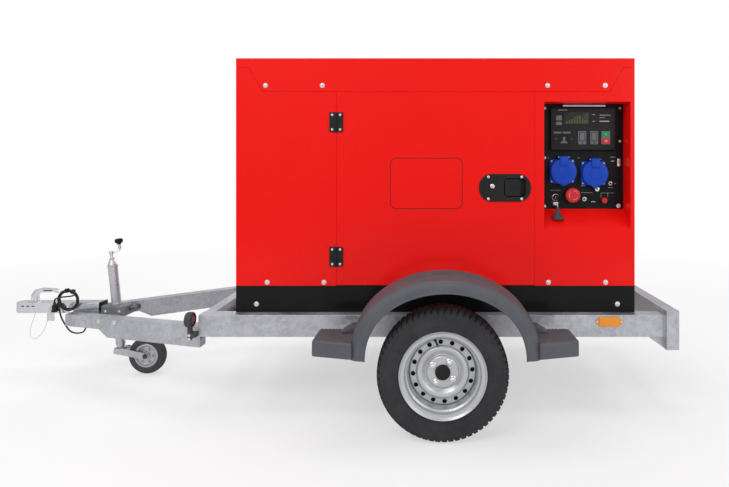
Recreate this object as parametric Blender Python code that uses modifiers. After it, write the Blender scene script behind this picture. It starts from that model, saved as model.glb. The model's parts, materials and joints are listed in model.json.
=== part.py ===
"""Towable diesel generator: a sheet metal canopy set on a galvanised single axle trailer.

Metres. +X runs to the tail, -Y is the side with the controls, +Z is up. The origin is under the middle
of the whole object, on the ground.
"""

import math

import bmesh
import bpy
from mathutils import Matrix, Vector

# ---- clearances and sheet gauges
GAP = 0.0003            # between pieces that touch
SEAM = 0.0008           # shadow gap between canopy panels
SHEET = 0.002           # canopy sheet
BASE_SHEET = 0.003      # base tray sheet
STEEL = 0.003           # trailer sections

# ---- trailer frame
NOSE_X = -1.691
TAIL_X = 1.691
RAIL_FRONT_X = -0.50
RAIL_Y = 0.50           # outer face of the side rails
RAIL_LOW = 0.348
RAIL_TALL = 0.101
RAIL_FLANGE = 0.070
CROSS_DEEP = 0.050
REAR_DEEP = 0.057
REAR_LOW = 0.294
REAR_TALL = 0.178
REAR_HALF = 0.52
BEAM = 0.060            # square drawbar tube
BEAM_FRONT_X = -1.367
BEAM_FRONT_Y = 0.070
BEAM_BACK_Y = 0.450
BEAM_FRONT_TOP = 0.345
BEAM_BACK_TOP = 0.391
RIB_TALL = 0.038        # strip under the beam
RIB_START = 0.27
RIB_SLOPE = 0.06

# ---- coupling
TUBE_LOW = 0.3457       # coupling tube underside
TUBE_HIGH = 0.392
TUBE_BACK_X = -1.227
HEAD_BACK_X = -1.370
HEAD_HALF = 0.035
HEAD_LOW = 0.335
HEAD_HIGH = 0.390
HEAD_WALL = 0.004
BALL_X = -1.652
BALL_R = 0.0256
BALL_Z = 0.3500
HANDLE_X = -1.600
HANDLE_Z = 0.4045
HANDLE_NOSE_R = 0.0100   # the nose turns above the seat when the handle lifts
HANDLE_HALF = 0.013

# ---- jockey wheel
LEAN = math.radians(6.0)
JOCKEY_X = -1.1489      # leg axis at the height JOCKEY_Z
JOCKEY_Z = 0.345
LEG_R = 0.024
LEG_WALL = 0.003
LEG_UP = 0.250          # from JOCKEY_Z along the leg
LEG_DOWN = 0.190
INNER_R = 0.0205
INNER_WALL = 0.0035
INNER_UP = 0.060
INNER_DOWN = 0.205
SCREW_R = 0.008
CLAMP_LOW = 0.321
CLAMP_HIGH = 0.372
CLAMP_FRONT_X = -1.222
CLAMP_BACK_X = -1.082
JOCKEY_WHEEL_X = -0.981
JOCKEY_WHEEL_R = 0.100
JOCKEY_WHEEL_HALF = 0.025
FORK_INSIDE = 0.0285
FORK_PLATE = 0.005
AXLE_PIN_R = 0.006

# ---- running gear
WHEEL_X = 0.612
TYRE_R = 0.2735
TYRE_WIDE = 0.155
TRACK_HALF = 0.7225
WHEEL_STEPS = 28
RIM_R = 0.160           # barrel, outside
RIM_FLANGE_R = 0.182
RIM_HALF = 0.0635
VENT_R = 0.0095
VENT_CIRCLE = 0.124
VENTS = 16
AXLE_BOX = 0.070
ARM_BACK = 0.150        # from the axle to the wheel centre
ARM_INSET = 0.1625      # from the wheel's middle plane in to the end of the axle tube
ARM_THICK = 0.030
STUB_R = 0.018
HUB_R = 0.052
GUARD_OUTSIDE = 0.1075  # mudguard either side of the wheel's middle plane
GUARD_INSIDE = 0.1125
GUARD_X = 0.622
GUARD_Z = 0.372
GUARD_HALF = 0.395      # outer ellipse of the arch
GUARD_RISE = 0.303
LIP_HALF = 0.327        # inner ellipse of the arch
LIP_RISE = 0.250
GUARD_LEG = 0.027       # the arch's ends reach below its centre
GUARD_WALL = 0.004
GUARD_STEPS = 18
STEP_TOP = 0.420
STEP_SKIRT = 0.065
STEP_LONG = 0.165
STEP_INSET = 0.016

# ---- canopy
BODY_FRONT_X = -0.346
BODY_BACK_X = 1.514
BODY_HALF = 0.450
BASE_TALL = 0.122
SKID = 0.014            # plates under the engine
BODY_TOP = 1.633
COVER_LOW = 1.478
COVER_END = 1.590
STEP_FRONT_X = -0.221
STEP_RUN = 0.064
STEP_BACK_X = 1.398
DOOR_FRONT_X = 0.1234
DOOR_BACK_X = 1.047
DOOR_RETURN = 0.022
HINGE_HALF = 0.0465
HINGE_LEAF = 0.030
HINGE_ZS = (0.7075, 1.334)
HINGE_PROUD = 0.0085    # hinge pin ahead of the canopy's side
KNUCKLE_R = 0.0045
LATCH_X = (0.788, 1.029)
LATCH_Z = (0.964, 1.093)
DISH_X = (0.905, 1.006)
DISH_Z = (0.985, 1.073)
DISH_DEEP = 0.024

# ---- control recess
RECESS_X = (1.092, 1.494)
RECESS_TOP = 1.430
RECESS_SILL_FRONT = 0.832
RECESS_SILL_BACK = 0.920
RECESS_Y = 0.348        # inner face of its back wall
PANEL_THICK = 0.0032
MODULE_X = (1.139, 1.4506)
MODULE_Z = (1.2056, 1.410)
MODULE_DEEP = 0.0207
KEY_Z = (1.2335, 1.298)
MENU_KEY_X = (1.270, 1.309)
MODE_KEY_X = (1.328, 1.366)
ROCKER_X = (1.381, 1.424)
SOCKET_AT = ((1.197, 1.103), (1.348, 1.093))
LID_RIM = 0.0055        # lid past the socket's body
LID_BLOCK_HALF = 0.020
LID_BLOCK_IN = 0.004
LID_BLOCK_LOW = -0.018  # hinge block, measured from the socket's rim
LID_BLOCK_TOP = 0.0145
LID_BRACKET_TOP = 0.014
LID_SWING = 0.0025      # how far the hinge block stays off the socket's rim
SOCKET_R = 0.058
SOCKET_BORE = 0.046
ESTOP_AT = (1.244, 0.990)
BREAKER_AT = (1.400, 0.964)
KEY_AT = (1.167, 0.978)

# ---- cables
CABLE_R = 0.004
COIL_X = -1.385
COIL_Z = 0.4085
COIL_IN = 0.044
COIL_OUT = 0.060
COIL_THICK = 0.017
WIRE_R = 0.0015
PLUG_R = 0.013

RAIL_TOP = RAIL_LOW + RAIL_TALL
BASE_LOW = RAIL_TOP + GAP
BASE_TOP = BASE_LOW + BASE_TALL
PANEL_LOW = BASE_TOP + GAP
BEAM_RUN = RAIL_FRONT_X - BEAM_FRONT_X
AXLE_X = WHEEL_X - ARM_BACK
AXLE_Z = RAIL_LOW - GAP - AXLE_BOX / 2
PANEL_FACE = RECESS_Y + GAP + PANEL_THICK
AXLE_HALF = TRACK_HALF - ARM_INSET
GUARD_OUT_Y = TRACK_HALF + GUARD_OUTSIDE
GUARD_IN_Y = TRACK_HALF - GUARD_INSIDE
HINGE_Y = BODY_HALF + HINGE_PROUD
LID_R = SOCKET_R + LID_RIM

PARTS = None
CUTTERS = None
FINISHES = {}


# ---- scene and finishes
def start():
    global PARTS, CUTTERS
    for old in list(bpy.data.objects):
        bpy.data.objects.remove(old)
    PARTS = bpy.data.collections.new("towable_generator")
    CUTTERS = bpy.data.collections.new("cutters")
    bpy.context.scene.collection.children.link(PARTS)
    bpy.context.scene.collection.children.link(CUTTERS)
    shades = {
        "red_paint": ((0.78, 0.015, 0.008), 0.35, 0.0),
        "black_paint": ((0.012, 0.012, 0.014), 0.45, 0.0),
        "galvanised": ((0.52, 0.53, 0.55), 0.45, 0.9),
        "zinc": ((0.60, 0.60, 0.62), 0.30, 1.0),
        "silver_paint": ((0.50, 0.51, 0.52), 0.35, 0.6),
        "rubber": ((0.045, 0.045, 0.050), 0.80, 0.0),
        "grey_plastic": ((0.105, 0.11, 0.12), 0.60, 0.0),
        "black_plastic": ((0.015, 0.015, 0.017), 0.50, 0.0),
        "blue_plastic": ((0.006, 0.060, 0.55), 0.35, 0.0),
        "red_plastic": ((0.60, 0.030, 0.030), 0.35, 0.0),
        "lamp_red": ((0.25, 0.010, 0.015), 0.20, 0.0),
        "key_grey": ((0.13, 0.13, 0.14), 0.50, 0.0),
        "cast_iron": ((0.20, 0.21, 0.22), 0.60, 0.5),
    }
    for name, (colour, rough, metal) in shades.items():
        finish = bpy.data.materials.new(name)
        finish.use_nodes = True
        shader = finish.node_tree.nodes["Principled BSDF"]
        shader.inputs["Base Color"].default_value = (*colour, 1.0)
        shader.inputs["Roughness"].default_value = rough
        shader.inputs["Metallic"].default_value = metal
        FINISHES[name] = finish


def place(name, data, finish=None):
    """Make an object of the data; with no finish it is a cutter."""
    obj = bpy.data.objects.new(name, data)
    if finish is None:
        CUTTERS.objects.link(obj)
        obj.hide_render = True
        obj.display_type = "WIRE"
    else:
        PARTS.objects.link(obj)
        data.materials.append(FINISHES[finish])
    return obj


# ---- shapes
def box(name, low, high, finish=None, bevel=0.0):
    low = Vector(low)
    high = Vector(high)
    bm = bmesh.new()
    bmesh.ops.create_cube(bm, size=1.0, matrix=Matrix.Diagonal((*(high - low), 1.0)))
    mesh = bpy.data.meshes.new(name)
    bm.to_mesh(mesh)
    bm.free()
    obj = place(name, mesh, finish)
    obj.location = (low + high) / 2
    if bevel:
        soften(obj, bevel)
    return obj


def soften(obj, width, segments=2):
    bevel = obj.modifiers.new("rounded", "BEVEL")
    bevel.width = width
    bevel.segments = segments
    bevel.limit_method = "ANGLE"


def aim(direction):
    """Rotation that turns +Z onto the direction."""
    return Vector((0, 0, 1)).rotation_difference(Vector(direction)).to_euler()


def rod(name, start_at, end_at, radius, finish=None, sides=16, end_radius=None):
    start_at = Vector(start_at)
    end_at = Vector(end_at)
    run = end_at - start_at
    bm = bmesh.new()
    top = radius if end_radius is None else end_radius
    bmesh.ops.create_cone(bm, cap_ends=True, segments=sides, radius1=radius, radius2=top,
                          depth=run.length)
    mesh = bpy.data.meshes.new(name)
    bm.to_mesh(mesh)
    bm.free()
    obj = place(name, mesh, finish)
    obj.location = (start_at + end_at) / 2
    obj.rotation_euler = aim(run)
    mesh.shade_smooth()
    mesh.set_sharp_from_angle(angle=math.radians(35))
    return obj


def turned(name, profile, at, direction, finish=None, steps=32, ring=True):
    """Turn (radius, height) points, listed down the outer side, about the direction."""
    mesh = bpy.data.meshes.new(name)
    points = [(r, 0.0, h) for r, h in profile]
    edges = [(i, i + 1) for i in range(len(points) - 1)]
    if ring:
        edges.append((len(points) - 1, 0))
    mesh.from_pydata(points, edges, [])
    obj = place(name, mesh, finish)
    obj.location = at
    obj.rotation_euler = aim(direction)
    screw = obj.modifiers.new("turned", "SCREW")
    screw.steps = steps
    screw.render_steps = steps
    screw.use_merge_vertices = True
    screw.merge_threshold = 0.00001
    screw.use_smooth_shade = True
    return obj


def flat(name, outline, low, high, axis, finish=None):
    """Extrude an outline: axis Y takes (x, z) points, X takes (y, z), Z takes (x, y)."""
    curve = bpy.data.curves.new(name, "CURVE")
    curve.dimensions = "2D"
    curve.fill_mode = "BOTH"
    curve.extrude = (high - low) / 2
    spline = curve.splines.new("POLY")
    spline.points.add(len(outline) - 1)
    for point, (u, v) in zip(spline.points, outline):
        point.co = (u, v, 0.0, 1.0)
    spline.use_cyclic_u = True
    obj = place(name + "_outline", curve, finish)
    middle = (low + high) / 2
    if axis == "Y":
        obj.rotation_euler = (math.pi / 2, 0.0, 0.0)
        obj.location = (0.0, middle, 0.0)
    elif axis == "X":
        obj.rotation_euler = (math.pi / 2, 0.0, math.pi / 2)
        obj.location = (middle, 0.0, 0.0)
    else:
        obj.location = (0.0, 0.0, middle)
    return as_mesh(obj, name, finish)


def as_mesh(obj, name, finish=None):
    """Turn a curve into a welded mesh object and take the curve away."""
    bpy.context.view_layer.update()
    seen = obj.evaluated_get(bpy.context.evaluated_depsgraph_get())
    mesh = bpy.data.meshes.new_from_object(seen)
    bm = bmesh.new()
    bm.from_mesh(mesh)
    bmesh.ops.remove_doubles(bm, verts=bm.verts, dist=0.00001)
    bmesh.ops.recalc_face_normals(bm, faces=bm.faces)
    bm.to_mesh(mesh)
    bm.free()
    mesh.materials.clear()
    matrix = obj.matrix_world.copy()
    bpy.data.objects.remove(obj)
    made = place(name, mesh, finish)
    made.matrix_world = matrix
    return made


def tube(name, points, radius, finish, resolution=2):
    curve = bpy.data.curves.new(name, "CURVE")
    curve.dimensions = "3D"
    curve.bevel_depth = radius
    curve.bevel_resolution = resolution
    curve.use_fill_caps = True
    spline = curve.splines.new("POLY")
    spline.points.add(len(points) - 1)
    for point, at in zip(spline.points, points):
        point.co = (*at, 1.0)
    return as_mesh(place(name + "_route", curve, finish), name, finish)


def smooth_route(points, spacing):
    """Catmull-Rom curve through the points, read at about the spacing."""
    points = [Vector(p) for p in points]
    ends = [2 * points[0] - points[1]] + points + [2 * points[-1] - points[-2]]
    route = []
    for a, b, c, d in zip(ends, ends[1:], ends[2:], ends[3:]):
        count = max(2, round((c - b).length / spacing))
        for i in range(count):
            t = i / count
            route.append(0.5 * (2 * b + (c - a) * t + (2 * a - 5 * b + 4 * c - d) * t ** 2
                                + (3 * b - a - 3 * c + d) * t ** 3))
    route.append(points[-1])
    return route


def boolean(obj, others, operation):
    for other in others:
        modifier = obj.modifiers.new(operation.lower(), "BOOLEAN")
        modifier.operation = operation
        modifier.object = other


def cut(obj, *others):
    boolean(obj, others, "DIFFERENCE")


def join(obj, *others):
    boolean(obj, others, "UNION")


def arc(x, z, radius, first, last, count, stretch=1.0):
    """Points on an arc, angles in degrees from +X towards +Z; stretch scales the height."""
    points = []
    for i in range(count + 1):
        angle = math.radians(first + (last - first) * i / count)
        points.append((x + radius * math.cos(angle), z + radius * stretch * math.sin(angle)))
    return points


def rounded(x_low, x_high, z_low, z_high, radius, count=5):
    """Outline of a rectangle with round corners."""
    return (arc(x_high - radius, z_high - radius, radius, 0, 90, count)
            + arc(x_low + radius, z_high - radius, radius, 90, 180, count)
            + arc(x_low + radius, z_low + radius, radius, 180, 270, count)
            + arc(x_high - radius, z_low + radius, radius, 270, 360, count))


# ---- trailer frame
def side_rail(side):
    """C section with its flanges turned inwards; side is -1 near, +1 far."""
    name = "near_rail" if side < 0 else "far_rail"
    web = RAIL_Y - STEEL
    lip = RAIL_Y - RAIL_FLANGE
    section = [(RAIL_Y, RAIL_LOW), (RAIL_Y, RAIL_TOP), (lip, RAIL_TOP), (lip, RAIL_TOP - STEEL),
               (web, RAIL_TOP - STEEL), (web, RAIL_LOW + STEEL), (lip, RAIL_LOW + STEEL), (lip, RAIL_LOW)]
    outline = [(side * y, z) for y, z in section]
    flat(name, outline, RAIL_FRONT_X, TAIL_X - REAR_DEEP - GAP, "X", "galvanised")


def crossmembers():
    half = RAIL_Y - STEEL - GAP
    low = RAIL_LOW + STEEL + GAP
    high = RAIL_TOP - STEEL - GAP
    front = box("front_crossmember", (RAIL_FRONT_X, -half, low),
                (RAIL_FRONT_X + CROSS_DEEP, half, high), "galvanised")
    cut(front, box("front_hollow", (RAIL_FRONT_X + STEEL, -half - 0.01, low + STEEL),
                   (RAIL_FRONT_X + CROSS_DEEP + 0.01, half + 0.01, high - STEEL)))
    front_x = TAIL_X - REAR_DEEP
    rear = box("rear_crossmember", (front_x, -REAR_HALF, REAR_LOW),
               (TAIL_X, REAR_HALF, REAR_LOW + REAR_TALL), "galvanised")
    cut(rear, box("rear_hollow", (front_x + STEEL, -REAR_HALF + STEEL, REAR_LOW + STEEL),
                  (TAIL_X + 0.01, REAR_HALF - STEEL, REAR_LOW + REAR_TALL - STEEL)))
    for side in (-1, 1):
        gusset = [(front_x - 0.075, RAIL_LOW - GAP), (front_x + 0.001, RAIL_LOW - GAP),
                  (front_x + 0.001, REAR_LOW + 0.001)]
        y = sorted((side * (RAIL_Y - 0.010), side * (RAIL_Y - 0.010 - STEEL)))
        join(rear, flat("gusset", gusset, y[0], y[1], "Y"))


def beam_y(x):
    return BEAM_FRONT_Y + (x - BEAM_FRONT_X) * (BEAM_BACK_Y - BEAM_FRONT_Y) / BEAM_RUN


def beam_top(x):
    return BEAM_FRONT_TOP + (x - BEAM_FRONT_X) * (BEAM_BACK_TOP - BEAM_FRONT_TOP) / BEAM_RUN


def beam_inner(x):
    lean = math.atan((BEAM_BACK_Y - BEAM_FRONT_Y) / BEAM_RUN)
    return beam_y(x) - BEAM / 2 / math.cos(lean)


def drawbar_beam(side):
    """Square tube from the coupling out to the frame, with a strip under its rear half."""
    name = "near_drawbar_beam" if side < 0 else "far_drawbar_beam"
    turn = math.atan2(BEAM_BACK_Y - BEAM_FRONT_Y, BEAM_RUN)
    run = Vector((BEAM_RUN, BEAM_BACK_Y - BEAM_FRONT_Y, BEAM_BACK_TOP - BEAM_FRONT_TOP)).length
    spare = 0.05
    half = BEAM / 2
    body = flat(name, [(-spare, 0), (-spare, -BEAM), (RIB_START, -BEAM),
                       (RIB_START + RIB_SLOPE, -BEAM - RIB_TALL), (run + spare, -BEAM - RIB_TALL),
                       (run + spare, 0)], -half, half, "Y", "galvanised")
    climb = math.asin((BEAM_BACK_TOP - BEAM_FRONT_TOP) / run)
    pose = (Matrix.Translation((BEAM_FRONT_X, side * BEAM_FRONT_Y, BEAM_FRONT_TOP))
            @ Matrix.Rotation(side * turn, 4, "Z") @ Matrix.Rotation(-climb, 4, "Y"))
    body.matrix_world = pose @ body.matrix_world
    bore = box(name + "_bore", (-2 * spare, -half + STEEL, -BEAM + STEEL),
               (run + 2 * spare, half - STEEL, -STEEL))
    bpy.context.view_layer.update()
    bore.matrix_world = pose @ bore.matrix_world
    cut(body, bore, box("nose_trim", (BEAM_FRONT_X - 0.3, -1, 0), (BEAM_FRONT_X, 1, 1)),
        box("frame_trim", (RAIL_FRONT_X - GAP, -1, 0), (RAIL_FRONT_X + 0.5, 1, 1)))
    for x in (BEAM_FRONT_X + 0.06, BEAM_FRONT_X + 0.14):
        y = side * (beam_y(x) + half / math.cos(turn))
        z = beam_top(x) - 0.030
        join(body, rod("beam_bolt", (x, y - side * 0.003, z), (x, y + side * 0.006, z),
                       0.0095, sides=6))


def coupling():
    half = beam_inner(BEAM_FRONT_X) - GAP
    spine = box("coupling_tube", (HEAD_BACK_X + GAP, -half, TUBE_LOW), (TUBE_BACK_X, half, TUBE_HIGH),
                "galvanised", 0.006)
    cut(spine, box("spine_hollow", (TUBE_BACK_X - 0.08, -half + 0.004, TUBE_LOW + 0.004),
                   (TUBE_BACK_X + 0.01, half - 0.004, TUBE_HIGH - 0.004)))
    join(spine, box("spine_foot", (HEAD_BACK_X + 0.004, -half, 0.300),
                    (CLAMP_FRONT_X - 0.006, half, TUBE_LOW + 0.004)))

    plan = rounded(NOSE_X, HEAD_BACK_X, -HEAD_HALF, HEAD_HALF, 0.0345, 8)
    head = flat("coupling_head", plan, HEAD_LOW, HEAD_HIGH, "Z", "zinc")
    cut(head, flat("head_trim", rounded(BALL_X + 0.045, HEAD_BACK_X - HEAD_WALL, -HEAD_HALF + HEAD_WALL,
                                        HEAD_HALF - HEAD_WALL, 0.006, 2),
                   HEAD_LOW - 0.01, HEAD_HIGH - HEAD_WALL, "Z"),
        rod("ball_mouth", (BALL_X, 0, HEAD_LOW - 0.01), (BALL_X, 0, BALL_Z), BALL_R, sides=28))
    dome = [(0.0, BALL_R)] + [(BALL_R * math.sin(math.radians(a)), BALL_R * math.cos(math.radians(a)))
                             for a in range(15, 91, 15)] + [(BALL_R, -0.004), (0.0, -0.004)]
    cut(head, turned("ball_dome", dome, (BALL_X, 0, BALL_Z), (0, 0, 1), steps=28, ring=False))
    join(head, box("handle_seat", (HANDLE_X - 0.022, -0.020, HEAD_HIGH - 0.001),
                   (HANDLE_X + 0.026, 0.020, HEAD_HIGH + 0.004)),
         box("latch_ears", (-1.530, -0.005, 0.285), (-1.494, 0.005, HEAD_HIGH - 0.001)))

    nose = arc(HANDLE_X, HANDLE_Z, HANDLE_NOSE_R, 180, 270, 4)
    grip = (nose + [(HANDLE_X + 0.022, HANDLE_Z - HANDLE_NOSE_R), (HANDLE_X + 0.018, 0.424),
                    (HANDLE_X + 0.026, 0.440)]
            + [(-1.485, 0.4445), (-1.468, 0.437), (-1.461, 0.442), (-1.466, 0.452), (-1.490, 0.460)]
            + [(HANDLE_X + 0.040, 0.4635), (HANDLE_X + 0.008, 0.455), (HANDLE_X - 0.010, 0.430)])
    handle = flat("coupling_handle", grip, -HANDLE_HALF, HANDLE_HALF, "Y", "zinc")
    soften(handle, 0.003)


# ---- jockey wheel
def on_leg(along, side=0.0, across=0.0):
    """Point at a distance up the leaning leg, moved sideways in Y or across it in X."""
    return Vector((JOCKEY_X - along * math.sin(LEAN) + across * math.cos(LEAN), side,
                   JOCKEY_Z + along * math.cos(LEAN) + across * math.sin(LEAN)))


def jockey():
    up = on_leg(1.0) - on_leg(0.0)
    plan = rounded(CLAMP_FRONT_X, CLAMP_BACK_X, -0.048, 0.048, 0.030, 5)
    clamp = flat("jockey_clamp", plan, CLAMP_LOW, CLAMP_HIGH, "Z", "black_plastic")
    reach = {}
    slope = (BEAM_BACK_Y - BEAM_FRONT_Y) / BEAM_RUN
    for x in (CLAMP_FRONT_X + 0.022, CLAMP_BACK_X - 0.018):
        reach[x] = beam_y(x) - (BEAM / 2) / math.cos(math.atan(slope)) - GAP
    (xa, ya), (xb, yb) = reach.items()
    join(clamp, flat("clamp_plate", [(xa, -ya), (xb, -yb), (xb, yb), (xa, ya)], 0.312, 0.334, "Z"))
    cut(clamp, rod("leg_hole", on_leg(-0.2), on_leg(0.2), LEG_R + GAP, sides=28))
    spin = rod("clamp_handle", (CLAMP_BACK_X + GAP, 0, 0.352), (CLAMP_BACK_X + 0.022, 0, 0.352), 0.009,
               "zinc", 12)
    join(spin, rod("clamp_bar", (CLAMP_BACK_X + 0.016, -0.006, 0.352), (CLAMP_BACK_X + 0.016, 0.076, 0.352),
                   0.005, sides=10))

    leg = [(0.0085, LEG_UP + 0.028), (0.012, LEG_UP + 0.026), (LEG_R - 0.001, LEG_UP), (LEG_R, LEG_UP - 0.006),
           (LEG_R, -LEG_DOWN), (LEG_R - LEG_WALL, -LEG_DOWN), (LEG_R - LEG_WALL, LEG_UP - 0.008),
           (0.0085, LEG_UP + 0.018)]
    turned("jockey_outer_tube", leg, on_leg(0), up, "galvanised", 24)
    inner = [(INNER_R, INNER_UP), (INNER_R, -INNER_DOWN), (INNER_R - INNER_WALL, -INNER_DOWN),
             (INNER_R - INNER_WALL, INNER_UP - 0.012), (SCREW_R + GAP, INNER_UP - 0.012),
             (SCREW_R + GAP, INNER_UP)]
    turned("jockey_inner_tube", inner, on_leg(0), up, "zinc", 20)
    crank = rod("jockey_crank", on_leg(-0.150), on_leg(LEG_UP + 0.068), SCREW_R, "zinc", 12)
    join(crank,
         rod("crank_arm", on_leg(LEG_UP + 0.062, -0.004), on_leg(LEG_UP + 0.062, 0.088), 0.0055, sides=10),
         rod("knob_stem", on_leg(LEG_UP + 0.058, 0.085), on_leg(LEG_UP + 0.106, 0.085), 0.009, sides=14),
         rod("knob_cap", on_leg(LEG_UP + 0.098, 0.085), on_leg(LEG_UP + 0.130, 0.085), 0.021, sides=20),
         rod("thrust_washer", on_leg(LEG_UP + 0.0285), on_leg(LEG_UP + 0.034), 0.014, sides=16))

    low = -INNER_DOWN - GAP
    fork = rod("jockey_fork", on_leg(low - 0.008), on_leg(low), 0.0335, "galvanised", 24)
    outside = FORK_INSIDE + FORK_PLATE
    head = on_leg(low - 0.004)
    for side in (-1, 1):
        y = sorted((side * FORK_INSIDE, side * outside))
        bar = [(head.x - 0.022, head.z + 0.004), (head.x - 0.024, head.z - 0.022),
               (JOCKEY_WHEEL_X - 0.004, JOCKEY_WHEEL_R - 0.016)]
        bar += arc(JOCKEY_WHEEL_X, JOCKEY_WHEEL_R, 0.016, -70, 90, 5)
        bar += [(head.x + 0.026, head.z + 0.006)]
        join(fork, flat("fork_bar", bar, y[0], y[1], "Y"))
    join(fork, rod("swivel_pin", on_leg(low - 0.004), on_leg(-0.160), INNER_R - INNER_WALL - GAP, sides=20),
         rod("wheel_pin", (JOCKEY_WHEEL_X, -outside - 0.004, JOCKEY_WHEEL_R),
             (JOCKEY_WHEEL_X, outside + 0.004, JOCKEY_WHEEL_R), AXLE_PIN_R, sides=16))
    half = JOCKEY_WHEEL_HALF
    wheel = [(0.016, half), (0.052, half - 0.008), (0.062, half - 0.001), (0.080, half), (0.094, half - 0.006),
             (JOCKEY_WHEEL_R, half - 0.013), (JOCKEY_WHEEL_R, 0.013 - half), (0.094, 0.006 - half), (0.080, -half),
             (0.062, 0.001 - half), (0.052, 0.008 - half), (0.016, -half), (AXLE_PIN_R + GAP, -half - 0.003),
             (AXLE_PIN_R + GAP, half + 0.003)]
    turned("jockey_wheel", wheel, (JOCKEY_WHEEL_X, 0, JOCKEY_WHEEL_R), (0, 1, 0), "rubber", 24)


# ---- running gear
def axle():
    beam = box("axle_tube", (AXLE_X - AXLE_BOX / 2, -AXLE_HALF, AXLE_Z - AXLE_BOX / 2),
               (AXLE_X + AXLE_BOX / 2, AXLE_HALF, AXLE_Z + AXLE_BOX / 2), "galvanised", 0.008)
    for side in (-1, 1):
        cut(beam, rod("pivot_bore", (AXLE_X, side * (AXLE_HALF - 0.15), AXLE_Z),
                      (AXLE_X, side * (AXLE_HALF + 0.1), AXLE_Z), 0.0223, sides=24))


def wheel_set(side):
    prefix = "near_" if side < 0 else "far_"
    inner = AXLE_HALF + GAP
    outer = inner + ARM_THICK
    reach = sorted((side * inner, side * outer))
    drop = WHEEL_X - AXLE_X
    pitch = math.atan2(TYRE_R - AXLE_Z, drop)
    big, small = 0.036, 0.030
    outline = (arc(AXLE_X, AXLE_Z, big, 90 + math.degrees(pitch), 270 + math.degrees(pitch), 8)
               + arc(WHEEL_X, TYRE_R, small, -90 + math.degrees(pitch), 90 + math.degrees(pitch), 8))
    arm = flat(prefix + "swing_arm", outline, reach[0], reach[1], "Y", "galvanised")
    hub_face = TRACK_HALF - 0.010
    join(arm, rod("pivot_shaft", (AXLE_X, side * (inner - 0.12), AXLE_Z),
                  (AXLE_X, side * (inner + 0.01), AXLE_Z), 0.022, sides=24),
         rod("stub", (WHEEL_X, side * (outer - 0.01), TYRE_R), (WHEEL_X, side * (hub_face + 0.014), TYRE_R),
             STUB_R, sides=24))

    at = (WHEEL_X, side * TRACK_HALF, TYRE_R)
    way = (0, side, 0)
    drum_in = outer + 0.004 - TRACK_HALF
    rim = [(STUB_R + GAP, 0.024), (0.030, 0.024), (0.065, 0.006), (0.100, 0.012), (0.107, 0.018), (0.118, 0.006),
           (0.140, 0.001), (RIM_R - 0.012, 0.014), (RIM_R - 0.006, 0.050), (RIM_FLANGE_R, RIM_HALF),
           (RIM_FLANGE_R, RIM_HALF - 0.003), (RIM_R, RIM_HALF - 0.006), (RIM_R, 0.030), (RIM_R - 0.010, 0.018),
           (RIM_R - 0.010, -0.020), (RIM_R, -0.030), (RIM_R, 0.006 - RIM_HALF),
           (RIM_FLANGE_R, 0.003 - RIM_HALF), (RIM_FLANGE_R, -RIM_HALF), (RIM_R - 0.006, 0.002 - RIM_HALF),
           (RIM_R - 0.016, -0.020), (RIM_R - 0.016, -0.004), (0.114, -0.006), (0.106, 0.006),
           (0.066, -0.004), (HUB_R, -0.004), (HUB_R, drum_in), (STUB_R + GAP, drum_in)]
    disc = turned(prefix + "rim", rim, at, way, "silver_paint", WHEEL_STEPS)
    vents = bmesh.new()
    for i in range(VENTS):
        angle = 2 * math.pi * (i + 0.5) / VENTS
        spot = Matrix.Translation((VENT_CIRCLE * math.cos(angle), VENT_CIRCLE * math.sin(angle), 0.0))
        bmesh.ops.create_cone(vents, cap_ends=True, segments=6, radius1=VENT_R, radius2=VENT_R, depth=0.06,
                              matrix=spot)
    mesh = bpy.data.meshes.new("vents")
    vents.to_mesh(mesh)
    vents.free()
    holes = place("vents", mesh)
    holes.location = at
    holes.rotation_euler = aim(way)
    cut(disc, holes)

    half = TYRE_WIDE / 2
    bead = RIM_HALF - 0.007
    outer_side = [(RIM_R + GAP, bead), (RIM_FLANGE_R + 0.0005, RIM_HALF - 0.0045), (0.198, half - 0.006),
                  (0.222, half), (0.248, half - 0.005), (TYRE_R - 0.004, half - 0.016), (TYRE_R, half - 0.030)]
    inner_side = [(TYRE_R - 0.014, 0.030 - half), (0.240, 0.014 - half), (RIM_R + 0.010, 0.010 - bead)]
    tyre = (outer_side + [(r, -h) for r, h in reversed(outer_side)]
            + inner_side[::-1] + [(r, -h) for r, h in inner_side])
    turned(prefix + "tyre", tyre, at, way, "rubber", WHEEL_STEPS)


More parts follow.
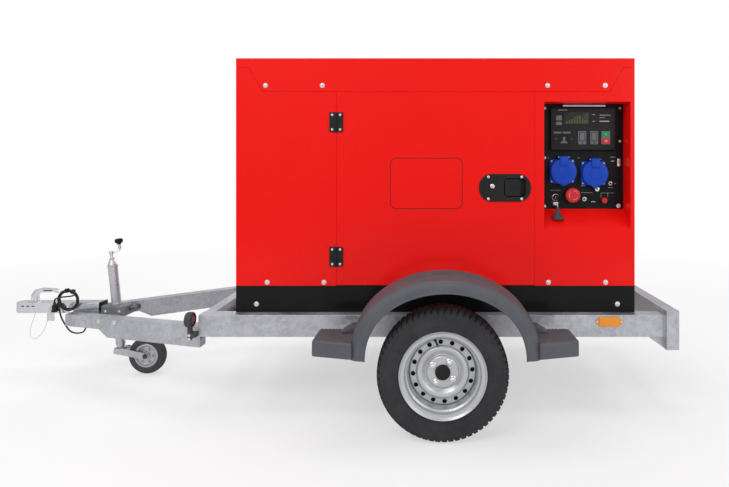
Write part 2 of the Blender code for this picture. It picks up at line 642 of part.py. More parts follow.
def mudguard(side):
    """Arched plastic shell between two ellipses, with a step on each side."""
    name = ("near_" if side < 0 else "far_") + "mudguard"
    section = ((1.0, 0.0), (1.0, 0.62), (0.93, 0.86), (0.70, 0.965), (0.0, 1.0))
    wide = GUARD_OUT_Y - GUARD_IN_Y
    bm = bmesh.new()
    rows = []
    for i in range(GUARD_STEPS + 1):
        angle = math.pi * i / GUARD_STEPS
        leg = GUARD_LEG if i in (0, GUARD_STEPS) else 0.0
        row = []
        for share, across in section:
            half = LIP_HALF + (GUARD_HALF - LIP_HALF) * share
            rise = LIP_RISE + (GUARD_RISE - LIP_RISE) * share
            row.append(bm.verts.new((GUARD_X - half * math.cos(angle), side * (GUARD_IN_Y + wide * across),
                                     GUARD_Z - leg + rise * math.sin(angle))))
        rows.append(row)
    for before, after in zip(rows, rows[1:]):
        for j in range(len(section) - 1):
            quad = (before[j], after[j], after[j + 1], before[j + 1])
            bm.faces.new(quad if side > 0 else quad[::-1])
    mesh = bpy.data.meshes.new(name)
    bm.to_mesh(mesh)
    bm.free()
    guard = place(name, mesh, "grey_plastic")
    wall = guard.modifiers.new("wall", "SOLIDIFY")
    wall.thickness = GUARD_WALL
    wall.offset = -1.0
    wall.use_even_offset = True
    y = sorted((side * GUARD_IN_Y, side * GUARD_OUT_Y))
    inside = sorted((side * (GUARD_IN_Y + GUARD_WALL), side * (GUARD_OUT_Y - GUARD_WALL)))
    low = STEP_TOP - STEP_SKIRT
    for way in (-1, 1):
        edge = GUARD_X + way * (GUARD_HALF - STEP_INSET)
        x = sorted((edge, edge + way * STEP_LONG))
        step = box("step", (x[0], y[0], low), (x[1], y[1], STEP_TOP))
        soften(step, 0.006)
        cut(step, box("step_hollow", (x[0] + GUARD_WALL, inside[0], low - 0.01),
                      (x[1] - GUARD_WALL, inside[1], STEP_TOP - GUARD_WALL)))
        join(guard, step)
    bracket = sorted((side * (RAIL_Y + GAP), side * (GUARD_IN_Y + 0.002)))
    for x in (GUARD_X - GUARD_HALF - 0.02, GUARD_X + GUARD_HALF - 0.02):
        join(guard, box("guard_bracket", (x, bracket[0], 0.375), (x + 0.040, bracket[1], 0.383)))


# ---- lamps
def lamps(side):
    prefix = "near_" if side < 0 else "far_"
    x = RAIL_FRONT_X - 0.030
    lamp = turned(prefix + "marker_lamp", [(0.0, 0.017), (0.028, 0.016), (0.0335, 0.011), (0.0345, 0.0),
                                           (0.0335, -0.012), (0.026, -0.018), (0.0, -0.018)],
                  (x, side * 0.520, 0.433), (1, 0, 0), "rubber", 24, ring=False)
    arm = sorted((side * 0.532, side * 0.508))
    foot = sorted((side * 0.532, side * 0.490))
    join(lamp, box("lamp_arm", (x - 0.009, arm[0], 0.340), (x + 0.009, arm[1], 0.405)),
         box("lamp_foot", (x - 0.009, foot[0], 0.3525), (RAIL_FRONT_X - GAP, foot[1], 0.3745)))


# ---- canopy
def canopy_base():
    tray = box("canopy_base", (BODY_FRONT_X, -BODY_HALF, BASE_LOW), (BODY_BACK_X, BODY_HALF, BASE_TOP),
               "black_paint")
    cut(tray, box("tray_hollow", (BODY_FRONT_X + BASE_SHEET, -BODY_HALF + BASE_SHEET, BASE_LOW + BASE_SHEET),
                  (BODY_BACK_X - BASE_SHEET, BODY_HALF - BASE_SHEET, BASE_TOP + 0.01)))
    for y in (-0.19, 0.19):
        join(tray, box("skid", (0.10, y - SKID / 2, BASE_LOW + 0.001), (1.40, y + SKID / 2, BASE_TOP - 0.002)))


def cover_seam(gap):
    """Lower edge of the top cover, front to back, moved down by the gap."""
    return [(BODY_FRONT_X, COVER_END - gap), (STEP_FRONT_X - STEP_RUN - gap / 2, COVER_END - gap),
            (STEP_FRONT_X - gap / 2, COVER_LOW - gap), (STEP_BACK_X + gap / 2, COVER_LOW - gap),
            (STEP_BACK_X + STEP_RUN + gap / 2, COVER_END - gap), (BODY_BACK_X, COVER_END - gap)]


def canopy_shells():
    seam = cover_seam(0.0)
    cover = flat("top_cover", seam + [(BODY_BACK_X, BODY_TOP), (BODY_FRONT_X, BODY_TOP)],
                 -BODY_HALF, BODY_HALF, "Y", "red_paint")
    cut(cover, box("cover_hollow", (BODY_FRONT_X + SHEET, -BODY_HALF + SHEET, COVER_LOW - 0.1),
                   (BODY_BACK_X - SHEET, BODY_HALF - SHEET, BODY_TOP - SHEET)))
    cover.modifiers[0].solver = "MANIFOLD"

    edge = cover_seam(SEAM)
    front_end = DOOR_FRONT_X - SEAM
    front = flat("front_shell", [(BODY_FRONT_X, PANEL_LOW), (front_end, PANEL_LOW), (front_end, edge[2][1])]
                 + edge[2::-1], -BODY_HALF, BODY_HALF, "Y", "red_paint")
    cut(front, box("front_room", (BODY_FRONT_X + SHEET, -BODY_HALF + SHEET, PANEL_LOW - 0.1),
                   (front_end + 0.1, BODY_HALF - SHEET, BODY_TOP)))
    rear_start = DOOR_BACK_X + SEAM
    rear = flat("rear_shell", [(rear_start, PANEL_LOW), (BODY_BACK_X, PANEL_LOW)]
                + edge[:2:-1] + [(rear_start, edge[3][1])], -BODY_HALF, BODY_HALF, "Y", "red_paint")
    cut(rear, box("rear_room", (rear_start - 0.1, -BODY_HALF + SHEET, PANEL_LOW - 0.1),
                  (BODY_BACK_X - SHEET, BODY_HALF - SHEET, BODY_TOP)))
    wall = SHEET
    tub = [(-BODY_HALF + 0.0005, RECESS_SILL_FRONT - wall), (-BODY_HALF + 0.0005, RECESS_TOP + wall),
           (-RECESS_Y + wall, RECESS_TOP + wall), (-RECESS_Y + wall, RECESS_SILL_BACK - wall)]
    join(rear, flat("recess_tub", tub, RECESS_X[0] - wall, RECESS_X[1] + wall, "X"))
    slope = (RECESS_SILL_BACK - RECESS_SILL_FRONT) / (BODY_HALF - RECESS_Y)
    hollow = [(-BODY_HALF - 0.01, RECESS_SILL_FRONT - 0.01 * slope), (-BODY_HALF - 0.01, RECESS_TOP),
              (-RECESS_Y, RECESS_TOP), (-RECESS_Y, RECESS_SILL_BACK)]
    cut(rear, flat("recess_hollow", hollow, RECESS_X[0], RECESS_X[1], "X"))


def door_pan(name, side, finish):
    low = PANEL_LOW + 0.003
    high = COVER_LOW - SEAM
    skin = sorted((side * BODY_HALF, side * (BODY_HALF - DOOR_RETURN)))
    hollow = sorted((side * (BODY_HALF - SHEET), side * (BODY_HALF - DOOR_RETURN - 0.01)))
    pan = box(name, (DOOR_FRONT_X, skin[0], low), (DOOR_BACK_X, skin[1], high), finish)
    cut(pan, box(name + "_hollow", (DOOR_FRONT_X + SHEET, hollow[0], low + SHEET),
                 (DOOR_BACK_X - SHEET, hollow[1], high - SHEET)))
    return pan


def doors():
    door_pan("far_panel", 1, "red_paint")
    door = door_pan("near_door", -1, "red_paint")
    dish_room = box("dish_room", (DISH_X[0] - GAP, -BODY_HALF - 0.01, DISH_Z[0] - GAP),
                    (DISH_X[1] + GAP, -BODY_HALF + 0.01, DISH_Z[1] + GAP))
    cut(door, dish_room)
    pin_x = DOOR_FRONT_X - SEAM
    face = -BODY_HALF
    leaf = 0.003
    for name, z in zip(("lower", "upper"), HINGE_ZS):
        low, high = z - HINGE_HALF, z + HINGE_HALF
        join(door, box("door_leaf", (DOOR_FRONT_X + 0.0002, face - leaf, low),
                       (DOOR_FRONT_X + HINGE_LEAF, face + 0.0005, high)))
        hinge = box(name + "_hinge", (pin_x - 0.003 - HINGE_LEAF, face - GAP - leaf, low),
                    (pin_x - 0.002, face - GAP, high), "black_plastic")
        join(hinge,
             box("hinge_neck", (pin_x - 0.006, -HINGE_Y - 0.001, low),
                 (pin_x - 0.002, face - GAP - 0.001, high)),
             rod("knuckle", (pin_x, -HINGE_Y, low), (pin_x, -HINGE_Y, high), KNUCKLE_R, sides=16))

    plate = rounded(LATCH_X[0], LATCH_X[1], LATCH_Z[0], LATCH_Z[1], 0.058, 8)
    latch = flat("latch_body", plate, face - GAP - leaf, face - GAP, "Y", "black_plastic")
    join(latch, box("dish", (DISH_X[0], face - GAP - 0.001, DISH_Z[0]),
                    (DISH_X[1], face + DISH_DEEP, DISH_Z[1])),
         rod("lock", (0.850, face - 0.008, 1.036), (0.850, face - 0.001, 1.036), 0.011, sides=20))
    cut(latch, box("dish_hollow", (DISH_X[0] + 0.0025, face - 0.01, DISH_Z[0] + 0.0025),
                   (DISH_X[1] - 0.0025, face + DISH_DEEP - 0.0025, DISH_Z[1] - 0.0025)))
    paddle = box("latch_paddle", (DISH_X[0] + 0.0032, face - 0.0030, DISH_Z[0] + 0.0045),
                 (DISH_X[1] - 0.024, face + 0.0025, DISH_Z[1] - 0.0045), "black_plastic", 0.0015)
    join(paddle, box("paddle_root", (DISH_X[0] + 0.0032, face + 0.0010, DISH_Z[0] + 0.012),
                     (DISH_X[0] + 0.0100, face + DISH_DEEP - 0.0030, DISH_Z[1] - 0.012)))


# ---- controls
def stemmed_hole(panel, at, stem, collar, proud):
    x, z = at
    join(panel, rod("collar", (x, -PANEL_FACE - proud, z), (x, -PANEL_FACE + 0.001, z), collar, sides=20))
    cut(panel, rod("stem_hole", (x, -PANEL_FACE - proud - 0.01, z), (x, -RECESS_Y + 0.01, z), stem, sides=20))


def controls():
    back = -RECESS_Y - GAP
    face = -PANEL_FACE
    panel = box("control_panel", (RECESS_X[0] + 0.0006, face, RECESS_SILL_BACK + 0.0035),
                (RECESS_X[1] - 0.0006, back, RECESS_TOP - 0.0006), "black_paint")
    stemmed_hole(panel, ESTOP_AT, 0.0125, 0.022, 0.014)
    stemmed_hole(panel, BREAKER_AT, 0.0065, 0.0105, 0.006)
    stemmed_hole(panel, KEY_AT, 0.0065, 0.015, 0.012)

    module_face = face - GAP - MODULE_DEEP
    module = box("controller_module", (MODULE_X[0], module_face, MODULE_Z[0]),
                 (MODULE_X[1], face - GAP, MODULE_Z[1]), "black_plastic", 0.003)
    key_back = module_face + 0.0065
    for name, (low, high) in (("menu_key", MENU_KEY_X), ("mode_key", MODE_KEY_X)):
        box(name, (low, module_face - 0.0030, KEY_Z[0]), (high, key_back, KEY_Z[1]), "key_grey", 0.0012)
        cut(module, box(name + "_pocket", (low - 0.0004, module_face - 0.01, KEY_Z[0] - 0.0004),
                        (high + 0.0004, key_back + 0.0022, KEY_Z[1] + 0.0004)))
    low, high = ROCKER_X
    box("start_stop_rocker", (low, module_face - 0.0040, KEY_Z[0]), (high, module_face + 0.0040, KEY_Z[1]),
        "key_grey", 0.0012)
    cut(module, box("rocker_pocket", (low - 0.0004, module_face - 0.01, KEY_Z[0] - 0.0007),
                    (high + 0.0004, module_face + 0.0090, KEY_Z[1] + 0.0007)))

    for name, (x, z) in zip(("left_socket", "right_socket"), SOCKET_AT):
        front = face - 0.033
        cup = [(0.0, 0.006), (SOCKET_BORE, 0.006), (SOCKET_BORE, 0.033), (SOCKET_R, 0.033), (SOCKET_R, GAP),
               (0.0, GAP)]
        body = turned(name, cup, (x, face, z), (0, -1, 0), "blue_plastic", 24, ring=False)
        lid = rod(name + "_lid", (x, front - GAP, z), (x, front - 0.011, z), LID_R, "blue_plastic", 24)
        rim = z + SOCKET_R
        join(lid, box("lid_block", (x - LID_BLOCK_HALF, front - 0.012, rim + LID_BLOCK_LOW),
                      (x + LID_BLOCK_HALF, front + LID_BLOCK_IN, rim + LID_BLOCK_TOP)))
        cut(lid, rod("lid_clear", (x, front - GAP, z), (x, front + 0.03, z), SOCKET_R + LID_SWING, sides=24))
        join(body, box("lid_bracket", (x - LID_BLOCK_HALF, front + LID_BLOCK_IN + GAP, rim + LID_BLOCK_LOW),
                       (x + LID_BLOCK_HALF, face - GAP, rim + LID_BRACKET_TOP)))

    x, z = ESTOP_AT
    stop = rod("emergency_stop", (x, face - 0.022, z), (x, face - 0.040, z), 0.038, "red_plastic", 28, 0.034)
    join(stop, rod("stop_stem", (x, face - 0.005, z), (x, face - 0.024, z), 0.012, sides=20))
    x, z = BREAKER_AT
    trip = rod("breaker_button", (x, face - 0.010, z), (x, face - 0.019, z), 0.012, "red_plastic", 20)
    join(trip, rod("trip_stem", (x, face - 0.0005, z), (x, face - 0.012, z), 0.006, sides=16))
    x, z = KEY_AT
    key = rod("key", (x, face - 0.0005, z), (x, face - 0.014, z), 0.006, "zinc", 16)
    join(key, box("key_bow", (x - 0.0012, face - 0.036, z - 0.011), (x + 0.0012, face - 0.0135, z + 0.011)))


# ---- machinery inside
def machinery():
    floor = BASE_TOP - 0.002 + GAP
    engine = box("engine", (0.36, -0.225, floor), (0.82, 0.225, 0.90), "cast_iron", 0.02)
    join(engine, box("cylinder_head", (0.40, -0.11, 0.89), (0.78, 0.11, 1.09), bevel=0.015))
    cut(engine, rod("crank_bore", (0.30, 0, 0.78), (0.46, 0, 0.78), 0.0153, sides=16),
        box("sump_void", (0.40, -0.19, floor - 0.01), (0.78, 0.19, 0.72)))
    alternator = rod("alternator", (0.82 + GAP, 0, 0.77), (1.32, 0, 0.77), 0.165, "cast_iron", 24)
    join(alternator, box("alternator_foot", (0.90, -0.21, floor), (1.24, 0.21, 0.635)))
    cut(alternator, rod("air_duct", (0.90, 0, 0.77), (1.34, 0, 0.77), 0.138, sides=24))
    low = BASE_LOW + BASE_SHEET + GAP
    radiator = box("radiator", (-0.315, -0.33, low), (-0.255, 0.33, 1.15), "black_paint", 0.004)
    cut(radiator, box("radiator_core", (-0.33, -0.29, 0.62), (-0.24, 0.29, 1.08)))
    join(radiator, box("radiator_fins", (-0.295, -0.292, 0.618), (-0.275, 0.292, 1.082)))
    fan = rod("cooling_fan", (-0.215, 0, 0.78), (-0.165, 0, 0.78), 0.050, "black_plastic", 20)
    join(fan, rod("fan_shaft", (-0.20, 0, 0.78), (0.452, 0, 0.78), 0.015, sides=16))
    for i in range(6):
        blade = box("fan_blade", (-0.205, -0.028, 0.045), (-0.200, 0.028, 0.210))
        bpy.context.view_layer.update()
        blade.matrix_world = (Matrix.Translation((0, 0, 0.78)) @ Matrix.Rotation(math.tau * i / 6, 4, "X")
                              @ Matrix.Translation((-0.2025 + 0.0125, 0, 0)) @ Matrix.Rotation(0.45, 4, "Z")
                              @ Matrix.Translation((0.2025, 0, 0)) @ blade.matrix_world)
        join(fan, blade)
    tank = box("fuel_tank", (-0.08, 0.235, low), (1.00, 0.425, 0.66), "black_plastic", 0.015)
    join(tank, rod("filler_neck", (0.20, 0.33, 0.64), (0.20, 0.33, 0.73), 0.035, sides=20))
    cut(tank, rod("filler_hole", (0.20, 0.33, 0.62), (0.20, 0.33, 0.74), 0.026, sides=20),
        box("tank_void", (-0.07, 0.245, low + 0.01), (0.99, 0.415, 0.65)))
    box("battery", (-0.04, -0.42, low), (0.24, -0.245, 0.665), "black_plastic", 0.006)
    silencer = rod("exhaust_silencer", (0.34, 0.0, 1.201), (0.88, 0.0, 1.201), 0.10, "cast_iron", 24)
    join(silencer, box("silencer_foot", (0.45, -0.03, 1.09 + GAP), (0.73, 0.03, 1.12)))
    cut(silencer, rod("exhaust_pipe", (0.40, 0.0, 1.201), (0.90, 0.0, 1.201), 0.094, sides=24))


# ---- cables
def cables():
    edge = 0.004
    coil = [(COIL_OUT - edge, COIL_THICK), (COIL_OUT, COIL_THICK - edge), (COIL_OUT, edge), (COIL_OUT - edge, 0.0),
            (COIL_IN + edge, 0.0), (COIL_IN, edge), (COIL_IN, COIL_THICK - edge), (COIL_IN + edge, COIL_THICK)]
    face = -beam_inner(BEAM_FRONT_X) - 0.0005
    turned("cable_coil", coil, (COIL_X, face, COIL_Z), (0, -1, 0), "rubber", 24)
    beam_x = -1.248
    beam_low = beam_top(beam_x) - BEAM - GAP
    middle = face - COIL_THICK / 2
    route = [(beam_x, -0.122, beam_low - 0.0006), (beam_x, -0.122, beam_low - 0.014),
             (beam_x - 0.014, -0.119, beam_low - 0.032),
             (-1.300, -0.105, 0.248), (-1.358, -0.080, 0.254), (-1.386, middle - 0.012, 0.288),
             (COIL_X, middle, 0.326), (COIL_X, middle, COIL_Z - COIL_OUT - 0.0007)]
    tube("light_cable", smooth_route(route, 0.014), CABLE_R, "rubber")
    plug_y = -HEAD_HALF - PLUG_R - 0.0016
    plug = rod("cable_plug", (-1.4582, plug_y, 0.3500), (-1.4582, plug_y, 0.398), PLUG_R, "black_plastic", 20)
    join(plug, rod("plug_nut", (-1.4582, plug_y, 0.345), (-1.4582, plug_y, 0.356), PLUG_R + 0.0008, sides=12))
    side = -HEAD_HALF - GAP
    wire = [(-1.576, -HEAD_HALF + 0.002, HEAD_LOW - 0.0006), (-1.5765, -HEAD_HALF + 0.002, 0.320),
            (-1.596, -0.034, 0.262), (-1.598, -0.036, 0.215), (-1.577, -0.039, 0.197), (-1.545, -0.042, 0.214),
            (-1.516, -0.044, 0.252), (-1.500, -0.0435, 0.300), (-1.4945, -0.0430, 0.340),
            (-1.4930, -0.0425, 0.362), (-1.4925, -0.0395, 0.3695),
            (-1.4925, side - 0.0006, 0.3705)]
    tube("safety_wire", smooth_route(wire, 0.0125), WIRE_R, "zinc")


def main():
    start()
    for side in (-1, 1):
        side_rail(side)
        drawbar_beam(side)
        wheel_set(side)
        mudguard(side)
        lamps(side)
    crossmembers()
    coupling()
    jockey()
    axle()
    canopy_base()
    canopy_shells()
    doors()
    controls()
    machinery()
    cables()


main()
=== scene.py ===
# %% [markdown]
# # A towable diesel generator
# The machine is a red sheet metal canopy on a galvanised trailer with one axle. Its solids come packed with
# their joints, so this script adds what the eye needs: rolled edges, tread, spangle, moulded grain, screws.
# Everything is in metres, +X is the tail, -Y is the side with the controls and +Z is up.

# %% Load the frame
import json
import math

import bpy
import numpy as np
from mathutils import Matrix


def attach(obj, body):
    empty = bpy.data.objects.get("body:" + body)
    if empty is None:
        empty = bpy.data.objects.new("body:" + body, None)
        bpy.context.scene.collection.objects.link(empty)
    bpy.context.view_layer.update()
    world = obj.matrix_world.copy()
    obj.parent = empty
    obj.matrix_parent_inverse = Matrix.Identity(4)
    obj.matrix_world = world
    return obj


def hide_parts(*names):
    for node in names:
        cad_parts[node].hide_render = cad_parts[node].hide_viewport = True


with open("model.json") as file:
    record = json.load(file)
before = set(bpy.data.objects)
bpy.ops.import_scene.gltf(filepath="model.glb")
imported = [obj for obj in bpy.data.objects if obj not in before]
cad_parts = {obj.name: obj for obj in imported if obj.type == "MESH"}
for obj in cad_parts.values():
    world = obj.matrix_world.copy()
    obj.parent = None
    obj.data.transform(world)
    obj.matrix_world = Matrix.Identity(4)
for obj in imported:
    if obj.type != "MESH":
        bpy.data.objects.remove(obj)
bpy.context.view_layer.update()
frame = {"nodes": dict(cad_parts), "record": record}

BODY_OF = {node: body for body, nodes in frame["record"]["behaviour"]["bodies"].items() for node in nodes}

# %% [markdown]
# ## Camera
# A long machine is best seen square from the side. A plain camera with its axis level keeps every upright
# edge upright, and a little lens shift puts the machine in the middle of the frame.

# %% Camera
LENS = 27.85
SHIFT = (-0.0898, -0.1077)
EYE = (0.559, -3.08, 1.135)

camera_data = bpy.data.cameras.new("camera")
camera_data.lens = LENS
camera_data.shift_x, camera_data.shift_y = SHIFT
camera = bpy.data.objects.new("camera", camera_data)
camera.location = EYE
camera.rotation_euler = (math.radians(90), 0.0, 0.0)
bpy.context.scene.collection.objects.link(camera)
bpy.context.scene.camera = camera
bpy.context.scene.view_settings.view_transform = "Standard"
print("camera at", EYE)

# %% [markdown]
# ## Shader arithmetic
# A finish is a sum of small effects: grain times wear plus dust. Written as nodes that is hard to read, so
# one class wraps a socket and lets plain arithmetic add the Math nodes. A second class holds one material
# and has one method that makes any other node.

# %% Wrapped sockets
class Wire:
    """A socket that carries a number; arithmetic on it adds Math nodes to its tree."""

    def __init__(self, tree, socket):
        self.tree = tree
        self.socket = socket

    def math(self, operation, first, second=None, clamp=False):
        node = self.tree.nodes.new("ShaderNodeMath")
        node.operation = operation
        node.use_clamp = clamp
        for place, value in zip(node.inputs, (first, second)):
            if isinstance(value, Wire):
                self.tree.links.new(value.socket, place)
            elif value is not None:
                place.default_value = value
        return Wire(self.tree, node.outputs[0])

    def __add__(self, other):
        return self.math("ADD", self, other)

    def __sub__(self, other):
        return self.math("SUBTRACT", self, other)

    def __rsub__(self, other):
        return self.math("SUBTRACT", other, self)

    def __mul__(self, other):
        return self.math("MULTIPLY", self, other)

    def __truediv__(self, other):
        return self.math("DIVIDE", self, other)

    def __pow__(self, other):
        return self.math("POWER", self, other)

    def clamped(self):
        return self.math("ADD", self, 0.0, clamp=True)

    __radd__ = __add__
    __rmul__ = __mul__


class Finish:
    """One material: a Principled shader with its constants set, and wires made by node()."""

    def __init__(self, name, colour, roughness=0.5, metallic=0.0, **constants):
        self.material = bpy.data.materials.new(name)
        self.material.use_nodes = True
        self.tree = self.material.node_tree
        self.shader = self.tree.nodes["Principled BSDF"]
        self.set("Base Color", (*colour, 1.0))
        self.set("Roughness", roughness)
        self.set("Metallic", metallic)
        self.set("Specular IOR Level", 0.5 if metallic > 0.3 else 0.18)
        for key, value in constants.items():
            self.set(key.replace("_", " "), value)
        self.place = self.node("ShaderNodeTexCoord", output="Object")

    def set(self, name, value):
        if isinstance(value, Wire):
            self.tree.links.new(value.socket, self.shader.inputs[name])
        else:
            self.shader.inputs[name].default_value = value

    def node(self, kind, settings=None, inputs=None, output=0):
        node = self.tree.nodes.new(kind)
        for key, value in (settings or {}).items():
            if key == "stops":
                ramp = node.color_ramp
                while len(ramp.elements) < len(value):
                    ramp.elements.new(1.0)
                for element, (at, level) in zip(ramp.elements, value):
                    element.position = at
                    element.color = (level, level, level, 1.0)
            else:
                setattr(node, key, value)
        for key, value in (inputs or {}).items():
            if isinstance(value, Wire):
                self.tree.links.new(value.socket, node.inputs[key])
            else:
                node.inputs[key].default_value = value
        return Wire(self.tree, node.outputs[output])

    def stretched(self, x, y, z):
        """Object coordinates scaled by x, y and z."""
        return self.node("ShaderNodeMapping", {}, {"Vector": self.place, "Scale": (x, y, z)})

    def noise(self, scale, detail=3.0, roughness=0.5, vector=None):
        return self.node("ShaderNodeTexNoise", {},
                         {"Vector": vector or self.place, "Scale": scale, "Detail": detail,
                          "Roughness": roughness})

    def cells(self, scale, output="Distance", feature="F1", vector=None):
        return self.node("ShaderNodeTexVoronoi", {"feature": feature},
                         {"Vector": vector or self.place, "Scale": scale}, output)

    def ramp(self, wire, *stops):
        return self.node("ShaderNodeValToRGB", {"stops": stops}, {0: wire})

    def mix(self, factor, first, second):
        """Colour that goes from first to second as the factor goes from 0 to 1."""
        def colour(value):
            return value if isinstance(value, Wire) else (*value, 1.0)
        return self.node("ShaderNodeMix", {"data_type": "RGBA"},
                         {0: factor, 6: colour(first), 7: colour(second)}, 2)

    def bump(self, height, strength=0.3, distance=0.001):
        self.set("Normal", self.node("ShaderNodeBump", {},
                                     {"Height": height, "Strength": strength, "Distance": distance}))

    def worn_edges(self, radius=0.004):
        """Nearly 1 where the surface turns sharply, 0 on the flats: how much a rounded copy of it leans."""
        bent = self.node("ShaderNodeBevel", {"samples": 4}, {"Radius": radius})
        true = self.node("ShaderNodeNewGeometry", output="Normal")
        dot = self.node("ShaderNodeVectorMath", {"operation": "DOT_PRODUCT"}, {0: bent, 1: true}, "Value")
        return self.ramp(1.0 - dot, (0.02, 0.0), (0.25, 1.0))


print("wrapped sockets: Wire and Finish")


# %% [markdown]
# ## Painted sheet metal
# Powder coat is smooth but never flat: it has a faint orange peel, a slow drift in shade from dust, and fine
# rub marks. The canopy red and the black of the base tray are the same paint in two colours.

# %% Paints
def powder_coat(name, colour, dusty, roughness):
    paint = Finish(name, colour, roughness, 0.0, Coat_Roughness=0.12, Coat_IOR=1.45,
                   Specular_IOR_Level=0.12)
    drift = paint.noise(1.7, 4.0)
    film = paint.ramp(paint.noise(9.0, 6.0, 0.65), (0.45, 0.0), (0.8, 1.0))
    streak = paint.ramp(paint.noise(5.0, 5.0, 0.6, paint.stretched(6.0, 6.0, 0.6)), (0.52, 0.0),
                        (0.85, 1.0))
    shade = paint.mix(drift * 0.5, colour, tuple(0.82 * c for c in colour))
    paint.set("Base Color", paint.mix((film * 0.05 + streak * 0.06).clamped(), shade, dusty))
    paint.set("Roughness", roughness + film * 0.1 + streak * 0.08)
    paint.set("Coat Weight", 0.16 - film * 0.1)
    paint.bump(paint.noise(420.0, 2.0), 0.1, 0.0004)
    return paint.material


RED_COAT = powder_coat("red powder coat", (0.89, 0.0052, 0.0028), (0.68, 0.034, 0.022), 0.42)
BLACK_COAT = powder_coat("black powder coat", (0.003, 0.0028, 0.0031), (0.02, 0.019, 0.019), 0.46)
PANEL_COAT = powder_coat("panel black", (0.005, 0.005, 0.0054), (0.025, 0.025, 0.026), 0.42)
print("paints, materials so far:", len(bpy.data.materials))


# %% [markdown]
# ## Galvanised steel
# Hot dip zinc freezes in crystals a few millimetres to a few centimetres wide. A Voronoi pattern gives each
# crystal its own grey, a second one breaks it up, and white rust settles in a cloudy film.

# %% Galvanised and bare metals
def galvanised(name, light, dark, crystal=55.0, roughness=0.42):
    zinc = Finish(name, light, roughness, 0.75)
    flakes = zinc.node("ShaderNodeSeparateColor", {}, {0: zinc.cells(crystal, "Color")})
    fine = zinc.node("ShaderNodeSeparateColor", {}, {0: zinc.cells(crystal * 2.7, "Color")})
    cloud = zinc.ramp(zinc.noise(6.0, 6.0, 0.62), (0.38, 0.0), (0.72, 1.0))
    runs = zinc.ramp(zinc.noise(11.0, 4.0, 0.6, zinc.stretched(5.0, 5.0, 0.5)), (0.5, 0.0), (0.8, 1.0))
    spangle = (flakes * 0.65 + fine * 0.35).clamped()
    base = zinc.mix(spangle * 0.75 + cloud * 0.25, dark, light)
    zinc.set("Base Color", zinc.mix(cloud * 0.28 + runs * 0.12, base, (0.63, 0.64, 0.66)))
    zinc.set("Roughness", roughness - 0.1 + spangle * 0.14 + cloud * 0.14)
    zinc.set("Metallic", 0.8 - cloud * 0.35)
    zinc.bump(flakes * 0.4 + zinc.noise(160.0, 3.0) * 0.6, 0.14, 0.0006)
    return zinc.material


def plated(name, colour, roughness, metallic=0.95, scratch=0.12):
    metal = Finish(name, colour, roughness, metallic)
    rub = metal.ramp(metal.noise(70.0, 5.0, 0.7, metal.stretched(1.0, 9.0, 9.0)), (0.48, 0.0), (0.75, 1.0))
    cloud = metal.noise(14.0, 5.0, 0.6)
    metal.set("Base Color", metal.mix(cloud * 0.5, colour, tuple(0.72 * c for c in colour)))
    metal.set("Roughness", roughness + rub * scratch + cloud * 0.1)
    metal.bump(rub * 0.5 + metal.noise(240.0, 2.0) * 0.5, 0.1, 0.0004)
    return metal.material


GALVANISED = galvanised("galvanised steel", (0.56, 0.57, 0.6), (0.34, 0.35, 0.38))
GALVANISED_FINE = galvanised("galvanised tube", (0.64, 0.65, 0.68), (0.4, 0.41, 0.44), 110.0, 0.38)
BRIGHT_ZINC = plated("bright zinc", (0.72, 0.72, 0.73), 0.26)
SCREW_STEEL = plated("screw steel", (0.78, 0.77, 0.76), 0.24)
CAST_METAL = plated("cast metal", (0.23, 0.24, 0.25), 0.55, 0.5, 0.2)
WHEEL_SILVER = plated("wheel silver", (0.56, 0.57, 0.585), 0.34, 0.62, 0.06)
DARK_STEEL = plated("dark steel", (0.1, 0.1, 0.11), 0.42, 0.8)
print("galvanised and bare metals, materials so far:", len(bpy.data.materials))


# %% [markdown]
# ## Plastics and rubber
# A moulded part carries the fine spark-eroded grain of its tool, and its edges polish with handling. Tyre
# rubber greys with dust that stays in its hollows.

# %% Moulded plastics and rubbers
def moulded(name, colour, roughness, grain=650.0, wear=(0.2, 0.2, 0.21), strength=0.18):
    plastic = Finish(name, colour, roughness, 0.0, Specular_IOR_Level=0.25)
    haze = plastic.ramp(plastic.noise(12.0, 5.0, 0.6), (0.4, 0.0), (0.78, 1.0))
    edge = plastic.worn_edges(0.0025)
    plastic.set("Base Color", plastic.mix((haze * 0.12 + edge * 0.16).clamped(), colour, wear))
    plastic.set("Roughness", roughness + haze * 0.1 - edge * 0.08)
    plastic.bump(plastic.noise(grain, 2.0), strength, 0.0003)
    return plastic.material


def rubber(name, colour, roughness=0.78, dust=(0.16, 0.155, 0.15), amount=0.3):
    soft = Finish(name, colour, roughness, 0.0, Specular_IOR_Level=0.35)
    dusty = soft.ramp(soft.noise(7.0, 7.0, 0.7), (0.36, 0.0), (0.74, 1.0))
    specks = soft.ramp(soft.noise(130.0, 3.0, 0.7), (0.55, 0.0), (0.72, 1.0))
    soft.set("Base Color", soft.mix((dusty * amount + specks * 0.1).clamped(), colour, dust))
    soft.set("Roughness", roughness + dusty * 0.12)
    soft.bump(soft.noise(340.0, 3.0), 0.2, 0.0005)
    return soft.material


